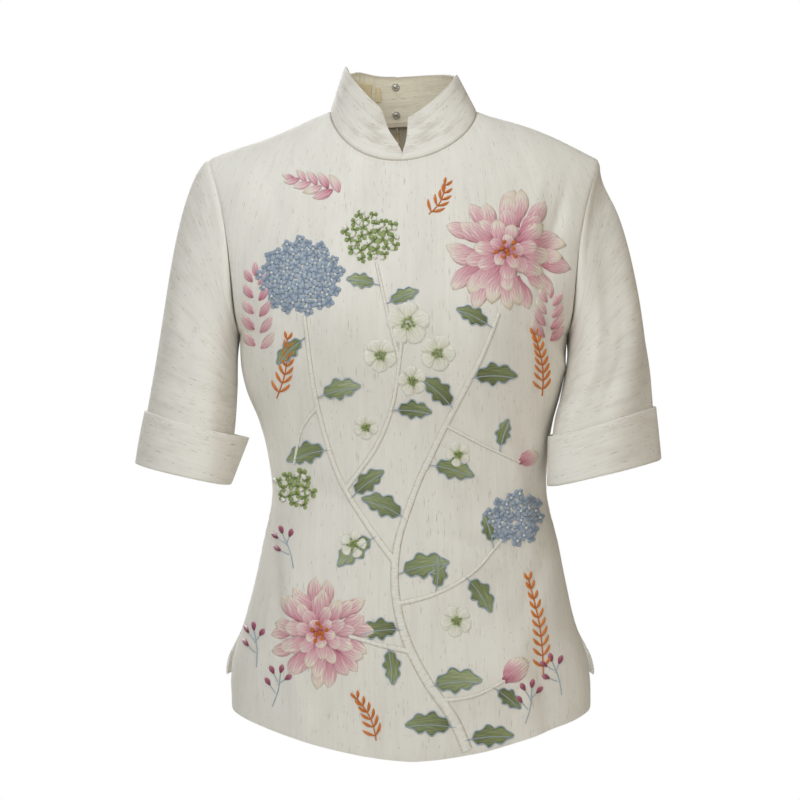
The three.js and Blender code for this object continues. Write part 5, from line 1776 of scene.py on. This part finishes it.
class GARMENT_OT_peonies(bpy.types.Operator):
    """Embroider the pink peonies"""

    bl_idname = "garment.peonies"
    bl_label = "Peonies"

    def execute(self, context):
        lift = context.scene.garment_thread.lift / MM
        draw = np.random.default_rng(7)
        needle = Needle()
        with needle.piece("peony_petals", "rose_thread"):
            for peony in PEONIES:
                self.open_peony(needle, *peony, lift, draw)
            for bud in PEONY_BUDS:
                self.closed_peony(needle, *bud, lift)
            for spray in SPRAYS:
                self.spray(needle, *spray, draw)
        with needle.piece("berry_stitches", "orange_thread"):
            for middle, radius, turn in PEONIES:
                for k in range(9):
                    place = step_out(middle, turn + GOLDEN_ANGLE * k, radius * 0.064 * math.sqrt(k))
                    needle.knot(place, 2.5, 1.5, shade=0.35 + 0.06 * (k % 5), layer=1.3)
            for twig in TWIGS:
                self.twig(needle, *twig)
        return {"FINISHED"}

    def open_peony(self, needle, middle, radius, turn, lift, draw):
        for ring, (count, root, length, width) in enumerate(PEONY_RINGS):
            for k in range(count):
                a = turn + ring * 17 + 360 * k / count + draw.uniform(-6, 6)
                size = radius * draw.uniform(0.86, 1.1)
                deep = draw.uniform(0, 0.2)
                needle.petal(
                    step_out(middle, a, radius * root), a + draw.uniform(-9, 9),
                    size * length, size * width,
                    bend=draw.uniform(-34, 34), blunt=1.35, lift=lift, layer=0.28 * ring,
                    shades=(deep, draw.uniform(0.72, 1.0)), waist=0.4, rows=9, columns=7,
                )

    def closed_peony(self, needle, root, turn, length, lift):
        for k, lean in enumerate(BUD_LEANS):
            needle.petal(
                root, turn + lean * 0.8, length * (0.86 + 0.07 * (k > 1)), length * 0.42,
                bend=-lean * 0.8, blunt=1.0, lift=lift, layer=0.2 * k, shades=(0.08, 0.9),
                waist=0.5, rows=9, columns=7,
            )

    def spray(self, needle, root, turn, length, pairs, draw):
        for k in range(2 * pairs + 1):
            share = (k // 2 + 0.5) / (pairs + 0.5)
            hand = 0 if k == 2 * pairs else 1 - 2 * (k % 2)
            x, z = step_out(root, turn, length * min(share, 0.92))
            size = 22 - 8 * share
            needle.petal(
                (x + hand * 3, z + 3 * (k % 2)), turn + hand * (56 - 16 * share), size, size * 0.46,
                bend=-hand * 24, blunt=0.9, lift=1.0, waist=0.15, rows=9, columns=6,
                shades=(draw.uniform(0.1, 0.4), draw.uniform(0.6, 1)),
            )

    def twig(self, needle, root, turn, length, pairs):
        places = []
        for share in np.linspace(0, 1, 5):
            straight = step_out(root, turn, length * share)
            places.append(step_out(straight, turn + 90, 3.5 * math.sin(share * 3.4)))
        needle.cord(places, 1.5, 0.9, stitch=1.7, shade=0.5)
        for k in range(pairs):
            share = 0.12 + 0.84 * k / (pairs - 1)
            place = smooth_between(places, share * (len(places) - 1))
            for hand in (-1, 1):
                needle.petal(
                    place, turn + hand * (64 - 24 * share), 14 * (1 - 0.4 * share), 3.2,
                    bend=-hand * 34, blunt=1.2, lift=1.3, shades=(0.35, 0.7), waist=0.3, rows=7, columns=4,
                )


class GARMENT_OT_florets(bpy.types.Operator):
    """Embroider the round blue and green heads and the white blossoms"""

    bl_idname = "garment.florets"
    bl_label = "Florets"

    def execute(self, context):
        draw = np.random.default_rng(19)
        needle = Needle()
        blue_spots = self.spots(FLORET_HEADS, 6.1, draw)
        green_spots = self.spots(GREEN_HEADS, 6.4, draw)
        with needle.piece("floret_petals", "blue_thread"):
            for place, out, turn, size in blue_spots:
                self.floret(needle, place, out, turn, 5.6 * size, 4)
        with needle.piece("green_florets", "lime_thread"):
            for place, out, turn, size in green_spots:
                self.floret(needle, place, out, turn, 5.2 * size, 3)
        with needle.piece("blossom_petals", "white_thread"):
            for place, out, turn, _ in green_spots:
                if out > 0.25:
                    lean = 90 - turn * 4
                    needle.petal(
                        step_out(place, lean, 1.4), lean, 4.6, 5.4, blunt=1.6, lift=1.1,
                        layer=0.9, shades=(0.5, 1.0), waist=0.5, rows=5, columns=5,
                    )
            for middle, radius, turn in BLOSSOMS:
                for k in range(5):
                    a = turn + 72 * k
                    needle.petal(
                        step_out(middle, a, radius * 0.16), a, radius * 0.86, radius * 0.94,
                        blunt=1.7, lift=1.2, shades=(0.0, 0.9), waist=0.35, rows=8, columns=8,
                    )
            for place, _, _, _ in blue_spots[::2]:
                needle.knot(place, 1.4, 1.2, shade=0.8, layer=0.9)
        with needle.piece("blossom_hearts", "lime_thread"):
            for middle, radius, turn in BLOSSOMS:
                for k in range(9):
                    place = step_out(middle, turn + GOLDEN_ANGLE * k, radius * 0.11 * math.sqrt(k))
                    needle.knot(place, 1.35, 1.3, shade=0.4 + 0.07 * (k % 6), layer=0.9)
        return {"FINISHED"}

    def spots(self, heads, spacing, draw):
        """Places of the florets in each head, as seeds lie in a sunflower."""
        made = []
        for (cx, cz), radius, turn in heads:
            count = int(1.5 * (radius / spacing) ** 2)
            for k in range(count):
                away = radius * 0.94 * math.sqrt((k + 0.4) / count)
                x, z = step_out((0, 0), turn + GOLDEN_ANGLE * k, away)
                place = (cx + x, cz + z * 0.92)
                made.append((place, away / radius, draw.uniform(0, 90), draw.uniform(0.85, 1.12)))
        return made

    def floret(self, needle, place, out, turn, size, petals):
        for k in range(petals):
            needle.petal(
                place, turn + 360 / petals * k, size, size * 0.94, blunt=1.3, lift=1.25, waist=0.4,
                layer=0.5 * (1 - out), shades=(0.1, 0.5 + 0.4 * (1 - out)), rows=5, columns=5,
            )


class GARMENT_OT_leaves(bpy.types.Operator):
    """Embroider the leaves with their pale blue outlines, and the bud sprigs"""

    bl_idname = "garment.leaves"
    bl_label = "Leaves"

    def execute(self, context):
        needle = Needle()
        draw = np.random.default_rng(31)
        with needle.piece("leaf_blades", "green_thread"):
            for root, turn, length, width, bend in LEAVES:
                tone = draw.uniform(0, 0.35)
                needle.petal(
                    step_out(root, turn, LEAF_STALK), turn, length, width, bend=bend, blunt=LEAF_BLUNT,
                    lift=0.8, shades=(tone, tone + 0.4), waist=0.05, rows=18, columns=8, ragged=LEAF_LOBES,
                )
        with needle.piece("leaf_outlines", "outline_thread"):
            for root, turn, length, width, bend in LEAVES:
                base = step_out(root, turn, LEAF_STALK)
                for hand in (-1, 1):
                    route = self.edge(base, turn, length, width, bend, hand)
                    needle.cord(route, 1.5, 0.95, stitch=1.8, shade=0.5)
                vein = self.edge(root, turn, length * 0.92 + LEAF_STALK, 0, bend, 0)
                needle.cord(vein, 1.1, 0.9, stitch=1.8, layer=0.6)
            for root, turn in SPRIGS:
                self.sprig_stalks(needle, root, turn)
        with needle.piece("buds", "maroon_thread"):
            for root, turn in SPRIGS:
                for place, lean in self.bud_places(root, turn):
                    needle.petal(
                        place, lean, 8.5, 5.4, blunt=1.1, lift=1.4, shades=(0.1, 0.9),
                        waist=0.3, rows=6, columns=6,
                    )
        return {"FINISHED"}

    def edge(self, base, turn, length, width, bend, hand):
        """Route along a leaf's edge on one hand, or along its middle."""
        places = []
        for v in np.linspace(0, 1, 12):
            half = width / 2 * max(fullness(v, LEAF_BLUNT), 0.02)
            half *= 1 + LEAF_LOBES * math.sin(v * LEAF_TEETH)
            spine = step_out(base, turn + bend * v / 2, length * v)
            places.append(step_out(spine, turn + bend * v + 90, hand * (half + 0.5)))
        return places

    def bud_places(self, root, turn):
        places = []
        for share, lean in SPRIG_BUDS:
            on_stalk = step_out(root, turn, SPRIG_LENGTH * share)
            reach = SPRIG_STALK if lean else 0
            places.append((step_out(on_stalk, turn + lean, reach), turn + lean))
        return places

    def sprig_stalks(self, needle, root, turn):
        tip = step_out(root, turn, SPRIG_LENGTH)
        middle = ((root[0] + tip[0]) / 2 + 2, (root[1] + tip[1]) / 2)
        needle.cord([root, middle, tip], 1.2, 0.8, stitch=1.8)
        for place, lean in self.bud_places(root, turn)[1:]:
            needle.cord([step_out(place, lean, -SPRIG_STALK), place], 1.0, 0.7, stitch=1.8)


# Stage


FLOOR_RADIUS = 1.25
# Lamps: name, place, size, watts and colour, all turned to the garment's middle
LAMPS = [
    ("key", (-0.6, -1.3, 0.7), 0.9, 12.6, (0.88, 0.935, 0.99)),
    ("side", (1.5, -1.7, 1.4), 1.1, 8.0, (0.95, 0.945, 0.89)),
    ("warm_side", (2.0, -1.5, -0.5), 1.2, 3.5, (1.0, 0.79, 0.62)),
    ("low_fill", (0.0, -2.2, -1.2), 1.5, 7, (0.95, 0.95, 0.95)),
    ("overhead", (0.0, -0.4, 1.9), 1.1, 8.5, (0.90, 0.93, 1.0)),
    ("back", (-0.9, 2.3, 0.9), 1.2, 52, (0.95, 0.96, 1.0)),
]


class GARMENT_OT_stage(bpy.types.Operator):
    """Set the floor, the light and the camera"""

    bl_idname = "garment.stage"
    bl_label = "Stage"

    def execute(self, context):
        stage = context.scene.garment_stage
        self.make_floor(stage)
        self.make_lights(context)
        self.make_world(context)
        self.make_camera(context, stage)
        return {"FINISHED"}

    def make_floor(self, stage):
        bm = bmesh.new()
        bmesh.ops.create_circle(bm, cap_ends=True, segments=96, radius=FLOOR_RADIUS)
        bmesh.ops.translate(bm, vec=(0, 0, stage.floor), verts=bm.verts)
        floor = new_piece("floor", bm)
        new_material("pale_floor", Base_Color=(0.93, 0.93, 0.92, 1), Roughness=0.9)
        floor.data.materials.append(bpy.data.materials["pale_floor"])

    def make_lights(self, context):
        for name, place, size, watts, colour in LAMPS:
            lamp = bpy.data.lights.new(name, "AREA")
            lamp.energy = watts
            lamp.size = size
            lamp.color = colour
            light = bpy.data.objects.new(name, lamp)
            light.location = place
            aim = MIDDLE - Vector(place)
            light.rotation_euler = aim.to_track_quat("-Z", "Y").to_euler()
            light.visible_camera = False
            context.scene.collection.objects.link(light)

    def make_world(self, context):
        world = bpy.data.worlds.new("studio")
        context.scene.world = world
        world.use_nodes = True
        tree = world.node_tree
        tree.nodes.clear()
        path = tree.nodes.new("ShaderNodeLightPath")
        soft = node(tree, "ShaderNodeBackground", Color=(1, 0.91, 0.70, 1), Strength=0.19)
        white = node(tree, "ShaderNodeBackground", Color=(1, 1, 1, 1), Strength=1.0)
        mixed = tree.nodes.new("ShaderNodeMixShader")
        tree.links.new(path.outputs["Is Camera Ray"], mixed.inputs[0])
        tree.links.new(soft.outputs[0], mixed.inputs[1])
        tree.links.new(white.outputs[0], mixed.inputs[2])
        out = tree.nodes.new("ShaderNodeOutputWorld")
        tree.links.new(mixed.outputs[0], out.inputs["Surface"])

    def make_camera(self, context, stage):
        camera = bpy.data.cameras.new("camera")
        camera.sensor_width = 36
        camera.lens = camera.sensor_width * stage.distance / stage.view_width
        holder = bpy.data.objects.new("camera", camera)
        holder.location = (stage.aside, -stage.distance, stage.height)
        holder.rotation_euler = (math.radians(90), 0, 0)
        context.scene.collection.objects.link(holder)
        context.scene.camera = holder
        context.scene.view_settings.view_transform = "Standard"


class GARMENT_PT_panel(bpy.types.Panel):
    """The garment's settings and its pieces, in the order in which they are made"""

    bl_idname = "GARMENT_PT_panel"
    bl_label = "Embroidered top"
    bl_space_type = "VIEW_3D"
    bl_region_type = "UI"
    bl_category = "Top"

    def draw(self, context):
        layout = self.layout
        for group in SETTINGS:
            settings = getattr(context.scene, group)
            box = layout.box()
            for name in settings.bl_rna.properties.keys():
                if name not in ("rna_type", "name"):
                    box.prop(settings, name)
        for operator in OPERATORS:
            layout.operator(operator.bl_idname)


SETTINGS = {
    "garment_cloth": ClothSettings,
    "garment_thread": ThreadSettings,
    "garment_stage": StageSettings,
}
OPERATORS = (
    GARMENT_OT_stage,
    GARMENT_OT_materials,
    GARMENT_OT_body,
    GARMENT_OT_sleeves,
    GARMENT_OT_cuffs,
    GARMENT_OT_collar,
    GARMENT_OT_patches,
    GARMENT_OT_snaps,
    GARMENT_OT_zip,
    GARMENT_OT_branch,
    GARMENT_OT_peonies,
    GARMENT_OT_florets,
    GARMENT_OT_leaves,
)


def register():
    for one in (*SETTINGS.values(), *OPERATORS, GARMENT_PT_panel):
        bpy.utils.register_class(one)
    for name, one in SETTINGS.items():
        setattr(bpy.types.Scene, name, PointerProperty(type=one))


def unregister():
    for name in SETTINGS:
        delattr(bpy.types.Scene, name)
    for one in reversed((*SETTINGS.values(), *OPERATORS, GARMENT_PT_panel)):
        bpy.utils.unregister_class(one)


def main():
    register()
    for operator in OPERATORS:
        group, name = operator.bl_idname.split(".")
        getattr(getattr(bpy.ops, group), name)()
    bpy.context.view_layer.update()


if __name__ == "__main__":
    main()
